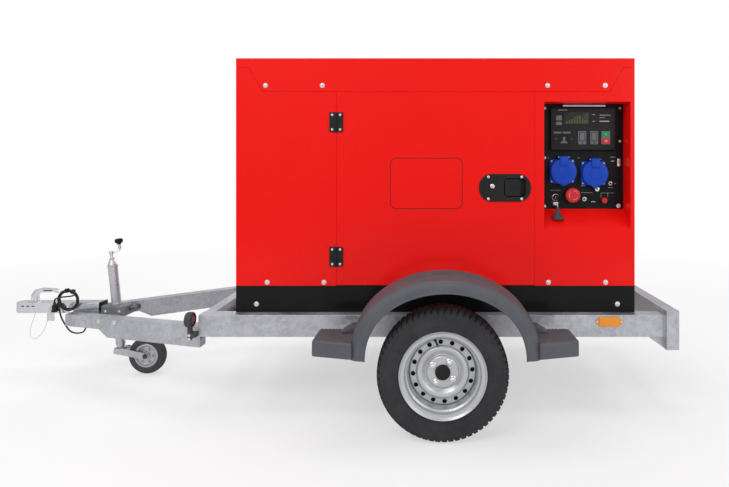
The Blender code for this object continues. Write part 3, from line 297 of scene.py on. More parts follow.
GREY_MOULDED = moulded("mudguard plastic", (0.088, 0.093, 0.103), 0.52, 420.0, (0.26, 0.27, 0.29))
BLACK_MOULDED = moulded("black plastic", (0.007, 0.007, 0.0076), 0.46, 700.0, (0.06, 0.06, 0.063))
KEY_GREY = moulded("key plastic", (0.125, 0.128, 0.135), 0.5, 900.0, (0.3, 0.3, 0.31))
SOCKET_BLUE = moulded("socket blue", (0.003, 0.048, 0.42), 0.34, 800.0, (0.012, 0.1, 0.55), 0.12)
STOP_RED = moulded("stop red", (0.55, 0.02, 0.022), 0.36, 800.0, (0.75, 0.12, 0.1), 0.1)
GO_GREEN = moulded("start green", (0.01, 0.26, 0.085), 0.4, 800.0, (0.08, 0.4, 0.18), 0.1)
TYRE_RUBBER = rubber("tyre rubber", (0.021, 0.021, 0.024), 0.78, (0.12, 0.115, 0.115), 0.25)
CABLE_RUBBER = rubber("cable rubber", (0.012, 0.012, 0.013), 0.55, (0.06, 0.06, 0.06), 0.2)
CASTOR_RUBBER = rubber("castor rubber", (0.055, 0.055, 0.06), 0.7)
LAMP_RUBBER = rubber("lamp rubber", (0.045, 0.045, 0.048), 0.66, (0.12, 0.12, 0.12), 0.25)
print("moulded plastics and rubbers, materials so far:", len(bpy.data.materials))


# %% [markdown]
# ## Lenses
# A lamp lens is clear plastic over a pattern of prisms. A row of small ridges in the bump catches light the
# way the prisms do, so the lens can stay opaque and cheap to render.

# %% Lenses and display
def lens(name, colour, ridges=260.0, roughness=0.16):
    glass = Finish(name, colour, roughness, 0.0, Coat_Weight=0.6, Coat_Roughness=0.05)
    prisms, cross = (glass.node("ShaderNodeTexWave", {"wave_type": "BANDS", "bands_direction": way},
                                {"Vector": glass.place, "Scale": ridges / 6.3, "Distortion": 0.0}, "Fac")
                     for way in "ZX")
    glass.set("Base Color", glass.mix((prisms * cross * 0.55).clamped(), colour,
                                      tuple(min(1.0, 1.35 * c + 0.03) for c in colour)))
    glass.bump(prisms * 0.5 + cross * 0.5, 0.35, 0.0008)
    return glass.material


def mottled(name, colour, dark, light, roughness, scale, detail=4.0, share=1.0, **constants):
    """Print or glass whose shade drifts between two close colours."""
    flat = Finish(name, colour, roughness, 0.0, **constants)
    flat.set("Base Color", flat.mix(flat.noise(scale, detail) * share, dark, light))
    return flat.material


AMBER_LENS = lens("amber lens", (0.82, 0.26, 0.008))
RED_LENS = lens("red lens", (0.17, 0.006, 0.012))
CLEAR_LENS = lens("clear lens", (0.72, 0.74, 0.76))
DISPLAY = mottled("display", (0.022, 0.026, 0.016), (0.02, 0.024, 0.015), (0.03, 0.034, 0.021), 0.3,
                  60.0, 3.0, Coat_Weight=0.1, Coat_Roughness=0.1)
SEGMENT = mottled("display segments", (0.075, 0.09, 0.05), (0.075, 0.09, 0.05), (0.05, 0.06, 0.035), 0.4,
                  300.0, 2.0, 0.3)
WHITE_PRINT = mottled("white print", (0.5, 0.5, 0.5), (0.36, 0.36, 0.37), (0.58, 0.58, 0.58), 0.55, 300.0)
RED_PRINT = mottled("dark red print", (0.25, 0.01, 0.008), (0.2, 0.008, 0.006), (0.32, 0.014, 0.01), 0.5,
                    200.0)

# the frame's slot for each finish, unless a piece names another one
USUAL_SLOT = {finish.name: slot for slot, finishes in {
    "red_paint": (RED_COAT, RED_PRINT), "silver_paint": (WHEEL_SILVER,),
    "galvanised": (GALVANISED, GALVANISED_FINE), "zinc": (BRIGHT_ZINC, SCREW_STEEL, DARK_STEEL, CAST_METAL),
    "tyre": (TYRE_RUBBER,), "rubber": (CABLE_RUBBER, CASTOR_RUBBER, LAMP_RUBBER),
    "grey_plastic": (GREY_MOULDED,), "black_plastic": (BLACK_MOULDED, DISPLAY),
    "blue_plastic": (SOCKET_BLUE, GO_GREEN), "red_plastic": (STOP_RED, RED_LENS, AMBER_LENS),
    "key_grey": (KEY_GREY, CLEAR_LENS, WHITE_PRINT, SEGMENT)}.items() for finish in finishes}
print("finishes:", len(bpy.data.materials))


# %% [markdown]
# ## Surfaces from two parameters
# A turned part, a swept tube and a pressed shell are all grids of points: one parameter runs along, the other
# runs round. Each helper below works the grid out as whole arrays, and one function puts it into a mesh. A
# closed grid has a signed volume, so its sign tells whether the faces point out, and a wrong one is flipped.

# %% Grids into meshes
def grid_faces(rows, columns, close_rows=False, close_columns=False):
    """Quads between neighbouring points of a grid numbered row by row."""
    r = np.arange(rows if close_rows else rows - 1)
    c = np.arange(columns if close_columns else columns - 1)
    r, c = np.meshgrid(r, c, indexing="ij")
    down, right = (r + 1) % rows, (c + 1) % columns
    quads = np.stack([r * columns + c, r * columns + right, down * columns + right, down * columns + c], -1)
    return quads.reshape(-1, 4)


def signed_volume(points, quads):
    """Sum over faces of a . (b x c) for their triangles: positive when closed faces point out."""
    a, b, c, d = (points[quads[:, i]] for i in range(4))
    return float(np.sum(a * np.cross(b, c)) + np.sum(a * np.cross(c, d)))


def outward(points, quads):
    return quads if signed_volume(points, quads) > 0 else quads[:, ::-1]


def facing(points, faces, quad, towards):
    """The faces, all turned over if the numbered one looks away from the direction."""
    a, b, _, d = points[faces[quad]]
    return points, faces if np.cross(b - a, d - a) @ np.asarray(towards, float) > 0 else faces[:, ::-1]


def tube(rings, middles=None):
    """Closed solid from rings of points: a fan to the middle closes each end."""
    middles = rings[[0, -1]].mean(1) if middles is None else middles
    first, last = (np.repeat(middle[None, None], rings.shape[1], 1) for middle in middles)
    points = np.concatenate([first, rings, last]).reshape(-1, 3)
    return points, outward(points - points.mean(0), grid_faces(len(rings) + 2, rings.shape[1], False, True))


def gather(solids):
    """Several (points, quads) solids as one pair, the indices moved on past each earlier solid."""
    starts = np.cumsum([0] + [len(points) for points, _ in solids[:-1]])
    return (np.concatenate([points for points, _ in solids]),
            np.concatenate([quads + start for (_, quads), start in zip(solids, starts)]))


def piece(name, solids, finish, body="chassis", replaces=(), smooth=40.0, slot=None):
    """One named object from a list of solids; it rides on a body and may stand for CAD nodes."""
    points, quads = gather(solids)
    mesh = bpy.data.meshes.new(name)
    mesh.vertices.add(len(points))
    mesh.vertices.foreach_set("co", points.astype(np.float32).ravel())
    mesh.loops.add(quads.size)
    mesh.loops.foreach_set("vertex_index", quads.astype(np.int32).ravel())
    mesh.polygons.add(len(quads))
    mesh.polygons.foreach_set("loop_start", np.arange(0, quads.size, 4, dtype=np.int32))
    mesh.update(calc_edges=True)
    mesh.validate()
    tidy_mesh(mesh)
    mesh.shade_smooth()
    mesh.set_sharp_from_angle(angle=math.radians(smooth))
    mesh.materials.append(finish)
    obj = bpy.data.objects.new(name, mesh)
    bpy.context.scene.collection.objects.link(obj)
    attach(obj, body)
    slot or USUAL_SLOT[finish.name]
    if replaces:
        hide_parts(*replaces)
    return obj


def tidy_mesh(mesh, distance=1e-6):
    """Weld doubled points, as at a pole, and drop the faces that this flattens."""
    import bmesh
    bm = bmesh.new()
    bm.from_mesh(mesh)
    bmesh.ops.remove_doubles(bm, verts=bm.verts, dist=distance)
    bmesh.ops.dissolve_degenerate(bm, edges=bm.edges, dist=distance)
    bm.to_mesh(mesh)
    bm.free()


def basis(direction):
    """Two unit vectors square to the direction, and the direction itself."""
    w = np.asarray(direction, float)
    w = w / np.linalg.norm(w)
    helper = np.array([1.0, 0.0, 0.0]) if abs(w[0]) < 0.9 else np.array([0.0, 0.0, 1.0])
    u = np.cross(helper, w)
    u /= np.linalg.norm(u)
    return u, np.cross(w, u), w


def rounded(points, radius, count=4, closed=False):
    """Replace each corner by a quadratic curve that starts and ends at most a radius away from it."""
    points = np.asarray(points, float)
    before = np.roll(points, 1, axis=0)
    after = np.roll(points, -1, axis=0)
    to_before, to_after = before - points, after - points
    reach = [np.linalg.norm(v, axis=1, keepdims=True) + 1e-12 for v in (to_before, to_after)]
    start = points + to_before / reach[0] * np.minimum(radius, reach[0] * 0.48)
    end = points + to_after / reach[1] * np.minimum(radius, reach[1] * 0.48)
    t = np.linspace(0.0, 1.0, count + 1)[None, :, None]
    curve = (1 - t) ** 2 * start[:, None] + 2 * t * (1 - t) * points[:, None] + t ** 2 * end[:, None]
    if closed:
        return curve.reshape(-1, points.shape[1])
    return np.concatenate([points[:1], curve[1:-1].reshape(-1, points.shape[1]), points[-1:]])


def revolve(profile, at, direction, steps=48, closed=False):
    """Turn (radius, height) points about a line: p = at + r (cos a u + sin a v) + h w."""
    profile = np.asarray(profile, float)
    u, v, w = basis(direction)
    angle = np.linspace(0.0, 2 * np.pi, steps, endpoint=False)
    ring = np.cos(angle)[:, None] * u + np.sin(angle)[:, None] * v
    points = np.asarray(at, float) + profile[:, 0, None, None] * ring[None] + profile[:, 1, None, None] * w
    points = points.reshape(-1, 3)
    return points, outward(points - points.mean(0), grid_faces(len(profile), steps, closed, True))


def sweep(path, section, closed=False, twist_up=(0.0, 0.0, 1.0)):
    """Carry a closed (a, b) section along a path, square to its tangent, with flat ends."""
    path = np.asarray(path, float)
    section = np.asarray(section, float)
    tangent = np.roll(path, -1, 0) - np.roll(path, 1, 0) if closed else np.gradient(path, axis=0)
    tangent /= np.linalg.norm(tangent, axis=1, keepdims=True)
    side = np.cross(tangent, np.asarray(twist_up, float))
    side /= np.linalg.norm(side, axis=1, keepdims=True)
    up = np.cross(side, tangent)
    a, b = section.T[:, None, :, None]
    points = path[:, None] + a * side[:, None] + b * up[:, None]
    if not closed:
        return tube(points)
    faces = grid_faces(len(path), len(section), True, True)
    points = points.reshape(-1, 3)
    return points, outward(points - points.mean(0), faces)


def peg(radius, low, high, at, direction, steps=24, fillet=0.001, count=2):
    """Solid pin between two heights on a line, with rounded rims."""
    profile = [(0.0, low), (radius, low), (radius, high), (0.0, high)]
    return revolve(rounded(profile, fillet, count), at, direction, steps)


def collar(inner, outer, low, high, at, direction, steps=48, fillet=0.001):
    """Ring of square section with rounded edges round a line."""
    profile = [(inner, low), (outer, low), (outer, high), (inner, high)]
    return revolve(rounded(profile, fillet, 2, True), at, direction, steps, True)


def circle(radius, count=12):
    """Points (r cos a, r sin a)."""
    angle = np.linspace(0.0, 2 * np.pi, count, endpoint=False)
    return np.stack([radius * np.cos(angle), radius * np.sin(angle)], -1)


def block(low, high, radius=0.002, cuts=3):
    """Box with round edges: each point q of a cube grid goes to c + r (q - c)/|q - c|, c being q held
    inside the box that is smaller by the radius."""
    low, high = np.asarray(low, float), np.asarray(high, float)
    radius = min(radius, 0.49 * float((high - low).min()))
    # steps crowd into the corners, where the rounding is
    arc = np.linspace(0.0, 1.0, cuts + 1)
    solids = []
    for axis in range(3):
        for end in (0, 1):
            others = [i for i in range(3) if i != axis]
            lines = []
            for other in others:
                near = low[other] + radius * arc
                far = high[other] - radius * arc[::-1]
                lines.append(np.concatenate([near, far]))
            a, b = np.meshgrid(*lines, indexing="ij")
            q = np.empty(a.shape + (3,))
            q[..., others[0]], q[..., others[1]] = a, b
            q[..., axis] = high[axis] if end else low[axis]
            core = np.clip(q, low + radius, high - radius)
            lean = q - core
            length = np.linalg.norm(lean, axis=-1, keepdims=True)
            q = core + radius * lean / np.maximum(length, 1e-12)
            points = q.reshape(-1, 3)
            away = np.zeros(3)
            away[axis] = 1 if end else -1
            # the middle quad is flat, whatever the rounding
            middle = cuts * (2 * cuts + 1) + cuts
            solids.append(facing(points, grid_faces(*a.shape), middle, away))
    return gather(solids)


def layered(outline, levels, axis="Y"):
    """Rings of a closed outline, each drawn in by an amount at a height; an amount of None is the middle
    point. Axis Y takes (x, z), X takes (y, z) and Z takes (x, y)."""
    outline = np.asarray(outline, float)
    following = np.roll(outline, -1, 0)
    tangent = following - np.roll(outline, 1, 0)
    normal = np.stack([tangent[:, 1], -tangent[:, 0]], -1)
    normal /= np.linalg.norm(normal, axis=1, keepdims=True) + 1e-12
    area = np.sum(outline[:, 0] * following[:, 1] - outline[:, 1] * following[:, 0])
    normal *= 1.0 if area > 0 else -1.0
    first, second, third = {"Y": (0, 2, 1), "X": (1, 2, 0), "Z": (0, 1, 2)}[axis]
    rings = np.empty((len(levels), len(outline), 3))
    for ring, (inward, height) in zip(rings, levels):
        flat = outline.mean(0) + 0 * outline if inward is None else outline - inward * normal
        ring[:, first], ring[:, second], ring[:, third] = flat[:, 0], flat[:, 1], height
    points = rings.reshape(-1, 3)
    return points, outward(points - points.mean(0), grid_faces(len(levels), len(outline), False, True))


def plate(outline, low, high, axis="Y", radius=0.001, count=3):
    """Flat plate with rounded rims: its outline is drawn in by r (1 - sin a) at r (1 - cos a) from a face."""
    angle = np.linspace(0.0, np.pi / 2, count + 1)
    rim = list(zip(radius * (1 - np.sin(angle)), radius * (1 - np.cos(angle))))
    lower, upper = [(i, low + h) for i, h in rim], [(i, high - h) for i, h in rim[::-1]]
    return layered(outline, [(None, low)] + lower + upper + [(None, high)], axis)


def cup_frame(outer, inner, levels):
    """Ring plate that looks to -Y: its profile runs from the outer outline at 0 to the inner one at 1."""
    flat = outer + (inner - outer) * np.array(levels)[:, 0, None, None]
    height = np.broadcast_to(np.array(levels)[:, 1, None], flat.shape[:2])
    points = np.stack([flat[..., 0], height, flat[..., 1]], -1).reshape(-1, 3)
    faces = grid_faces(len(levels), len(outer), False, True)
    return facing(points, faces, len(outer) * (len(levels) // 3), (0, -1, 0))


def ring_plate(x, z, inset, radii, levels, count=6):
    """Frame between a rounded rectangle and the same one drawn in by the inset."""
    (x_low, x_high), (z_low, z_high) = x, z
    inner = stadium(x_low + inset, x_high - inset, z_low + inset, z_high - inset, radii[1], count)
    return cup_frame(stadium(x_low, x_high, z_low, z_high, radii[0], count), inner, levels)


def stadium(x_low, x_high, z_low, z_high, radius, count=8):
    """Rectangle outline whose corners are quarter circles."""
    turn = np.linspace(0.0, np.pi / 2, count)
    corners = [(x_high - radius, z_high - radius, 0), (x_low + radius, z_high - radius, 1),
               (x_low + radius, z_low + radius, 2), (x_high - radius, z_low + radius, 3)]
    return np.concatenate([np.stack([x + radius * np.cos(turn + q * np.pi / 2),
                                     z + radius * np.sin(turn + q * np.pi / 2)], -1)
                           for x, z, q in corners])


def spline(points, spacing):
    """Catmull-Rom curve through the points, read at about the spacing."""
    points = np.asarray(points, float)
    ends = np.concatenate([[2 * points[0] - points[1]], points, [2 * points[-1] - points[-2]]])
    route = []
    for a, b, c, d in zip(ends, ends[1:], ends[2:], ends[3:]):
        count = max(2, int(round(np.linalg.norm(c - b) / spacing)))
        t = (np.arange(count) / count)[:, None]
        route.append(0.5 * (2 * b + (c - a) * t + (2 * a - 5 * b + 4 * c - d) * t ** 2
                            + (3 * b - a - 3 * c + d) * t ** 3))
    return np.concatenate(route + [points[-1:]])


def dome_screw(at, direction, radius, washer=1.35, steps=20):
    """Button head on a washer, with a hexagon socket: a turned profile whose pit has six sides."""
    head = 0.62 * radius
    rim = 0.16 * radius
    arc = np.linspace(0.0, np.pi / 2, 6)
    profile = [(0.0, head * 0.45), (0.38 * radius, head * 0.45), (0.42 * radius, head * 0.98)]
    profile += [(radius * (0.42 + 0.58 * np.sin(a)), rim + (head - rim) * np.cos(a)) for a in arc[1:]]
    profile += [(radius * washer * 0.96, rim), (radius * washer, 0.0), (0.0, 0.0)]
    return revolve(profile, at, direction, steps)


def hex_bolt(at, direction, radius, height, steps=6):
    """Hexagon head on a round washer."""
    washer = revolve(rounded([(0.0, 0.25 * height), (radius * 1.5, 0.25 * height), (radius * 1.5, 0.0),
                              (0.0, 0.0)], 0.0006, 2), at, direction, 20)
    head = revolve([(0.0, height), (radius * 0.86, height), (radius * 1.12, height * 0.86),
                    (radius * 1.12, 0.24 * height), (0.0, 0.24 * height)], at, direction, steps)
    return gather([washer, head])


print("surface helpers ready")


# %% [markdown]
# ## Floor, backdrop and light
# A studio sweep is white because of its paint and its distance, not because of more light on the machine.
# The floor is pale where the machine's shadow falls, and fades to the backdrop's white with distance. The
# lamps are wide and soft, and stay low enough that pale steel keeps its tone.

# %% Stage
FLOOR_HALF = 60.0

floor_mesh = bpy.data.meshes.new("floor")
floor_mesh.from_pydata([(-FLOOR_HALF, -FLOOR_HALF, 0), (FLOOR_HALF, -FLOOR_HALF, 0),
                        (FLOOR_HALF, FLOOR_HALF, 0), (-FLOOR_HALF, FLOOR_HALF, 0)], [], [(0, 1, 2, 3)])
floor = bpy.data.objects.new("floor", floor_mesh)
bpy.context.scene.collection.objects.link(floor)

sweep_paint = Finish("studio floor", (0.93, 0.93, 0.93), 0.85)
tree = sweep_paint.tree
path = sweep_paint.node("ShaderNodeLightPath", output="Is Camera Ray")
far = sweep_paint.node("ShaderNodeVectorMath", {"operation": "LENGTH"}, {0: sweep_paint.place}, "Value")
fade = sweep_paint.ramp((far - 1.6) / 4.0, (0.0, 0.0), (1.0, 1.0))
glow = sweep_paint.node("ShaderNodeEmission", {}, {"Color": (1, 1, 1, 1), "Strength": 1.0})
blend = tree.nodes.new("ShaderNodeMixShader")
tree.links.new((path * (fade * 0.45 + 0.55)).socket, blend.inputs[0])
tree.links.new(sweep_paint.shader.outputs[0], blend.inputs[1])
tree.links.new(glow.socket, blend.inputs[2])
tree.links.new(blend.outputs[0], tree.nodes["Material Output"].inputs["Surface"])
floor_mesh.materials.append(sweep_paint.material)

world = bpy.data.worlds.new("studio")
world.use_nodes = True
bpy.context.scene.world = world
sky = world.node_tree
ambient = sky.nodes["Background"]
ambient.inputs["Color"].default_value = (0.93, 0.95, 1.0, 1.0)
ambient.inputs["Strength"].default_value = 0.45
white = sky.nodes.new("ShaderNodeBackground")
white.inputs["Color"].default_value = (1.0, 1.0, 1.0, 1.0)
rays = sky.nodes.new("ShaderNodeLightPath")
seen = Wire(sky, rays.outputs["Is Camera Ray"]) + Wire(sky, rays.outputs["Is Glossy Ray"]) * 0.4
seen = (seen + Wire(sky, rays.outputs["Is Transmission Ray"])).clamped()
either = sky.nodes.new("ShaderNodeMixShader")
sky.links.new(seen.socket, either.inputs[0])
sky.links.new(ambient.outputs[0], either.inputs[1])
sky.links.new(white.outputs[0], either.inputs[2])
sky.links.new(either.outputs[0], sky.nodes["World Output"].inputs["Surface"])


def soft_lamp(name, place, aim, size, watts, colour=(1.0, 1.0, 1.0)):
    """Square area light that faces the aim point."""
    lamp = bpy.data.lights.new(name, "AREA")
    lamp.shape = "RECTANGLE"
    lamp.size, lamp.size_y = size
    lamp.energy = watts
    lamp.color = colour
    holder = bpy.data.objects.new(name, lamp)
    holder.location = place
    w = basis(np.asarray(place, float) - np.asarray(aim, float))[2]
    holder.rotation_euler = (math.acos(w[2]), 0.0, math.atan2(w[0], -w[1]))
    bpy.context.scene.collection.objects.link(holder)
    return holder


soft_lamp("key", (-1.8, -4.2, 4.4), (0.3, 0.0, 0.6), (3.4, 2.4), 120)
soft_lamp("fill", (4.2, -4.0, 2.4), (0.3, 0.0, 0.6), (3.0, 2.4), 60)
soft_lamp("top", (0.3, 0.4, 5.4), (0.3, 0.0, 0.8), (4.2, 3.0), 100)
soft_lamp("back", (0.3, 5.2, 3.2), (0.3, 0.0, 0.6), (4.5, 2.2), 90)
print("stage: floor, world and 4 lamps")


# %% [markdown]
# ## Real edges on the solids
# A solid from a drawing has edges sharper than any folded sheet. Light finds those edges first, so a copy of
# the solid is welded, its flat faces are joined again and every fold gets a small bevel. The copy stands for
# the solid, and the solid stays underneath for collisions.

# %% Rounded copies of solids
def finished(node, finish, width=0.0012, segments=2, angle=30.0):
    """A welded copy of a CAD node with its folds bevelled."""
    import bmesh
    source = frame["nodes"][node]
    bm = bmesh.new()
    bm.from_mesh(source.data)
    bmesh.ops.remove_doubles(bm, verts=bm.verts, dist=2e-6)
    bmesh.ops.dissolve_limit(bm, angle_limit=math.radians(0.6), verts=bm.verts, edges=bm.edges)
    mesh = bpy.data.meshes.new(node + "_skin")
    bm.to_mesh(mesh)
    bm.free()
    mesh.materials.clear()
    mesh.materials.append(finish)
    mesh.shade_smooth()
    mesh.set_sharp_from_angle(angle=math.radians(angle))
    obj = bpy.data.objects.new(node + "_skin", mesh)
    bpy.context.scene.collection.objects.link(obj)
    if width:
        bevel = obj.modifiers.new("fold", "BEVEL")
        bevel.width = width
        bevel.segments = segments
        bevel.limit_method = "ANGLE"
        bevel.angle_limit = math.radians(angle)
        bevel.use_clamp_overlap = True
        bevel.harden_normals = True
    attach(obj, BODY_OF[node])
    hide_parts(node)
    return obj


print("rounded copies of solids: finished")


# %% [markdown]
# ## Cables at the drawbar
# Two free lines hang at the nose. The light cable comes out under the near beam, drops in a loop and is wound
# into a small coil that is strapped to the drawbar, with its plug beside it. A thin safety wire hangs from
# the coupling head. Each is a round section carried along a smooth curve through the points of its route.

# %% Cords
CABLE_R, WIRE_R = 0.004, 0.0015
POINT_EVERY = 0.006
COIL = np.array([-1.385, 0.0, 0.4085])
BEAM_LOW = 0.291
PLUG_AT = np.array([-1.4582, -0.0496, 0.0])


def wound(first, turns, places):
    """Clockwise turns: c + (r cos a, y, r sin a), with r and y read between the places along the turns."""
    turn = np.linspace(0.0, turns, int(turns * 30) + 1)
    stops, radii, offsets = np.array(places).T
    r, y = np.interp(turn, stops, radii), np.interp(turn, stops, offsets)
    a = math.radians(first) - 2 * np.pi * turn
    return COIL + np.stack([r * np.cos(a), y, r * np.sin(a)], -1)


def run_length(path):
    return float(np.linalg.norm(np.diff(path, axis=0), axis=1).sum())


drop = [(-1.248, -0.122, BEAM_LOW - 0.0006), (-1.248, -0.122, BEAM_LOW - 0.014),
        (-1.262, -0.119, BEAM_LOW - 0.032), (-1.3, -0.105, 0.248), (-1.352, -0.08, 0.25),
        (-1.394, -0.06, 0.28),
        (-1.423, -0.052, 0.325)]
coil = wound(200.0, 2.375, [(0.0, 0.0555, -0.0495), (0.85, 0.0555, -0.0493), (1.05, 0.0472, -0.0493),
                            (1.8, 0.0472, -0.0493), (2.0, 0.0472, -0.0411), (2.2, 0.0555, -0.042),
                            (2.375, 0.0562, -0.057)])
lead = [(-1.3465, -0.06, 0.4505), (-1.3445, -0.0605, 0.44), (-1.36, -0.0605, 0.433),
        (-1.395, -0.06, 0.429), (-1.43, -0.058, 0.424), (-1.452, -0.053, 0.415),
        (-1.4582, -0.0496, 0.405), (-1.4582, -0.0496, 0.3975)]
cable_path = spline(np.concatenate([drop, coil[:-1:3], lead]), POINT_EVERY)
plug_body = [(0.0, 0.054), (0.0045, 0.054), (0.006, 0.05), (0.0064, 0.042), (0.011, 0.038), (0.0128, 0.034),
             (0.0128, 0.012), (0.0138, 0.011), (0.0138, 0.0005), (0.0118, 0.0), (0.0105, 0.0),
             (0.01, 0.005),
             (0.0, 0.005)]
plug = piece("light_plug", [revolve(rounded(plug_body, 0.0015, 2), PLUG_AT + [0, 0, 0.345], (0, 0, 1), 28)],
             BLACK_MOULDED, replaces=("cable_plug",), smooth=35)
ribs = [block(PLUG_AT + [0.0135 * math.cos(a) - 0.0012, 0.0135 * math.sin(a) - 0.0012, 0.3465],
              PLUG_AT + [0.0135 * math.cos(a) + 0.0012, 0.0135 * math.sin(a) + 0.0012, 0.355], 0.0006, 1)
        for a in np.arange(12) * math.pi / 6]
grips = piece("light_plug_ribs", ribs, BLACK_MOULDED)
cable = piece("light_cable_run", [sweep(cable_path, circle(CABLE_R, 12), False, (0.0, 1.0, 0.0))],
              CABLE_RUBBER, replaces=("light_cable", "cable_coil"), smooth=60)

wire_route = [(-1.576, -0.033, 0.3344), (-1.5765, -0.033, 0.32), (-1.596, -0.034, 0.262),
              (-1.598, -0.036, 0.215),
              (-1.577, -0.039, 0.197), (-1.545, -0.042, 0.214), (-1.516, -0.044, 0.252),
              (-1.5, -0.0435, 0.3),
              (-1.4945, -0.043, 0.34), (-1.493, -0.0425, 0.362), (-1.4925, -0.0395, 0.3695),
              (-1.4925, -0.0359, 0.3705)]
wire_path = spline(wire_route, POINT_EVERY)
wire = piece("safety_wire_run", [sweep(wire_path, circle(WIRE_R, 8), False, (0.0, 1.0, 0.0))], BRIGHT_ZINC,
             replaces=("safety_wire",), smooth=60)

straps = []
for angle in (62.0, 98.0):
    a = math.radians(angle)
    middle = COIL + np.array([0.0515 * math.cos(a), -0.047, 0.0515 * math.sin(a)])
    out = np.array([math.cos(a), 0.0, math.sin(a)])
    loop = rounded([(0.0105, 0.0108), (-0.0105, 0.0108), (-0.0105, -0.0108), (0.0105, -0.0108)], 0.006, 5,
                   True)
    ring = middle + loop[:, :1] * out + loop[:, 1:] * np.array([0.0, 1.0, 0.0])
    straps.append(sweep(ring, [(0.0007, -0.0065), (0.0007, 0.0065), (-0.0007, 0.0065), (-0.0007, -0.0065)],
                        True,
                        (-out[2], 0.0, out[0])))
piece("coil_straps", straps, BLACK_MOULDED, slot="rubber")
print("light cable: %.3f m, safety wire: %.3f m" % (run_length(cable_path), run_length(wire_path)))


# %% [markdown]
# ## Tyres
# A tyre is one cross-section carried round the axle. Its tread is the same section with less radius wherever
# a pitch is open, so the grooves come from one formula. The steps round crowd together at the groove walls,
# which keeps the walls steep without many faces.

# %% Tyres
WHEEL_AT = np.array([0.612, 0.7225, 0.2735])
PITCHES = 62
GROOVE = 0.0062


def around(radius, angle, height, side):
    """Point on a wheel: c + r (cos a, 0, sin a) + h outward."""
    radius, angle, height = np.broadcast_arrays(radius, angle, height)
    return np.stack([WHEEL_AT[0] + radius * np.cos(angle), side * (WHEEL_AT[1] + height),
                     WHEEL_AT[2] + radius * np.sin(angle)], -1)


# half section from bead to crown: distance from the middle plane, radius, share of the groove depth
HALF_TYRE = [(0.059, 0.179, 0), (0.0625, 0.1832, 0), (0.065, 0.185, 0), (0.0652, 0.1875, 0),
             (0.069, 0.1895, 0), (0.0722, 0.1965, 0), (0.075, 0.207, 0), (0.0765, 0.2085, 0),
             (0.0764, 0.211, 0), (0.0772, 0.22, 0), (0.0775, 0.229, 0), (0.0769, 0.237, 0),
             (0.0764, 0.2398, 0), (0.077, 0.241, 0), (0.0764, 0.2428, 0), (0.0752, 0.244, 0),
             (0.0735, 0.25, 0), (0.0712, 0.2555, 0), (0.07, 0.2575, 0.15), (0.069, 0.2592, 0.75),
             (0.0655, 0.264, 0.95), (0.06, 0.268, 1.0), (0.052, 0.2706, 1.0), (0.042, 0.2722, 1.0),
             (0.033, 0.2729, 1.0), (0.0322, 0.2665, 0), (0.0262, 0.2665, 0), (0.0254, 0.2732, 0.55),
             (0.018, 0.2734, 0.55), (0.0112, 0.2735, 0.0), (0.0104, 0.267, 0), (0.005, 0.267, 0),
             (0.0042, 0.2735, 0.0)]


def tyre(side):
    """r(a, s) = R(s) - d(s) g(a): R is the section, d the groove share and g is 1 where a pitch is open."""
    half = np.array(HALF_TYRE)
    section = np.concatenate([half, (half * [-1, 1, 1])[::-1]])
    inside_pitch = np.array([0.0, 0.06, 0.66, 0.72, 0.95])
    opened = np.array([0.0, 0.0, 0.0, 1.0, 1.0])
    angle = ((np.arange(PITCHES)[:, None] + inside_pitch) / PITCHES * 2 * np.pi).ravel()
    g = np.tile(opened, PITCHES)
    across, radius, share = section.T[:, :, None]
    # the pitches lean towards the shoulders, one side half a pitch behind the other
    lean = np.abs(across) / 0.0775 * 0.055 + np.where(across < 0, np.pi / PITCHES, 0.0)
    points = around(radius - GROOVE * share * g, angle + lean, across, side).reshape(-1, 3)
    faces = grid_faces(len(section), len(angle), True, True)
    middle = points - around(0.0, 0.0, 0.0, side)
    return points, outward(middle, faces)


for side, name in ((-1, "near"), (1, "far")):
    piece(name + "_tyre_skin", [tyre(side)], TYRE_RUBBER, name + "_wheel", (name + "_tyre",), 32)
print("tyres:", PITCHES, "pitches round")

# %% [markdown]
# ## Pressed steel wheels
# The disc is pressed from one sheet: a flat hub, a deep groove, a rounded crown and a ring of vents. A round
# hole in a ring is a patch whose inner edge is a circle and whose outer edge is the border of its sector, so
# sixteen such patches close up into the ring without any boolean.

# %% Wheel discs
VENT_COUNT = 16
VENT_PHASE = math.radians(3.8)
RING = (0.1135, 0.1345)
VENT = 0.0098
DISC = np.array([(0.028, 0.015), (0.044, 0.0148), (0.06, 0.0135), (0.0655, 0.0115), (0.0682, 0.005),
                 (0.0705, 0.002), (0.074, 0.0022), (0.0795, 0.0072), (0.087, 0.014), (0.095, 0.0175),
                 (0.101, 0.018), (0.1062, 0.0152), (0.1098, 0.0098), (0.112, 0.0066), (0.1135, 0.0058),
                 (0.1345, 0.003), (0.1375, 0.0016), (0.1395, -0.002), (0.14, -0.008)])
DISC_WALL = 0.0035


def disc_height(radius):
    """Height of the disc's face above the wheel's middle plane, read off the section."""
    return np.interp(radius, DISC[:, 0], DISC[:, 1])


def shell_ring(profile, side, steps, wall):
    """Turned sheet: the face, then the same face moved back by the wall, closed round both edges."""
    profile = np.asarray(profile, float)
    loop = np.concatenate([profile, profile[::-1] - [0.0, wall]])
    angle = np.linspace(0.0, 2 * np.pi, steps, endpoint=False)
    points = around(loop[:, 0, None], angle + VENT_PHASE, loop[:, 1, None], side).reshape(-1, 3)
    return points, outward(points - around(0.0, 0.0, 0.0, side), grid_faces(len(loop), steps, True, True))


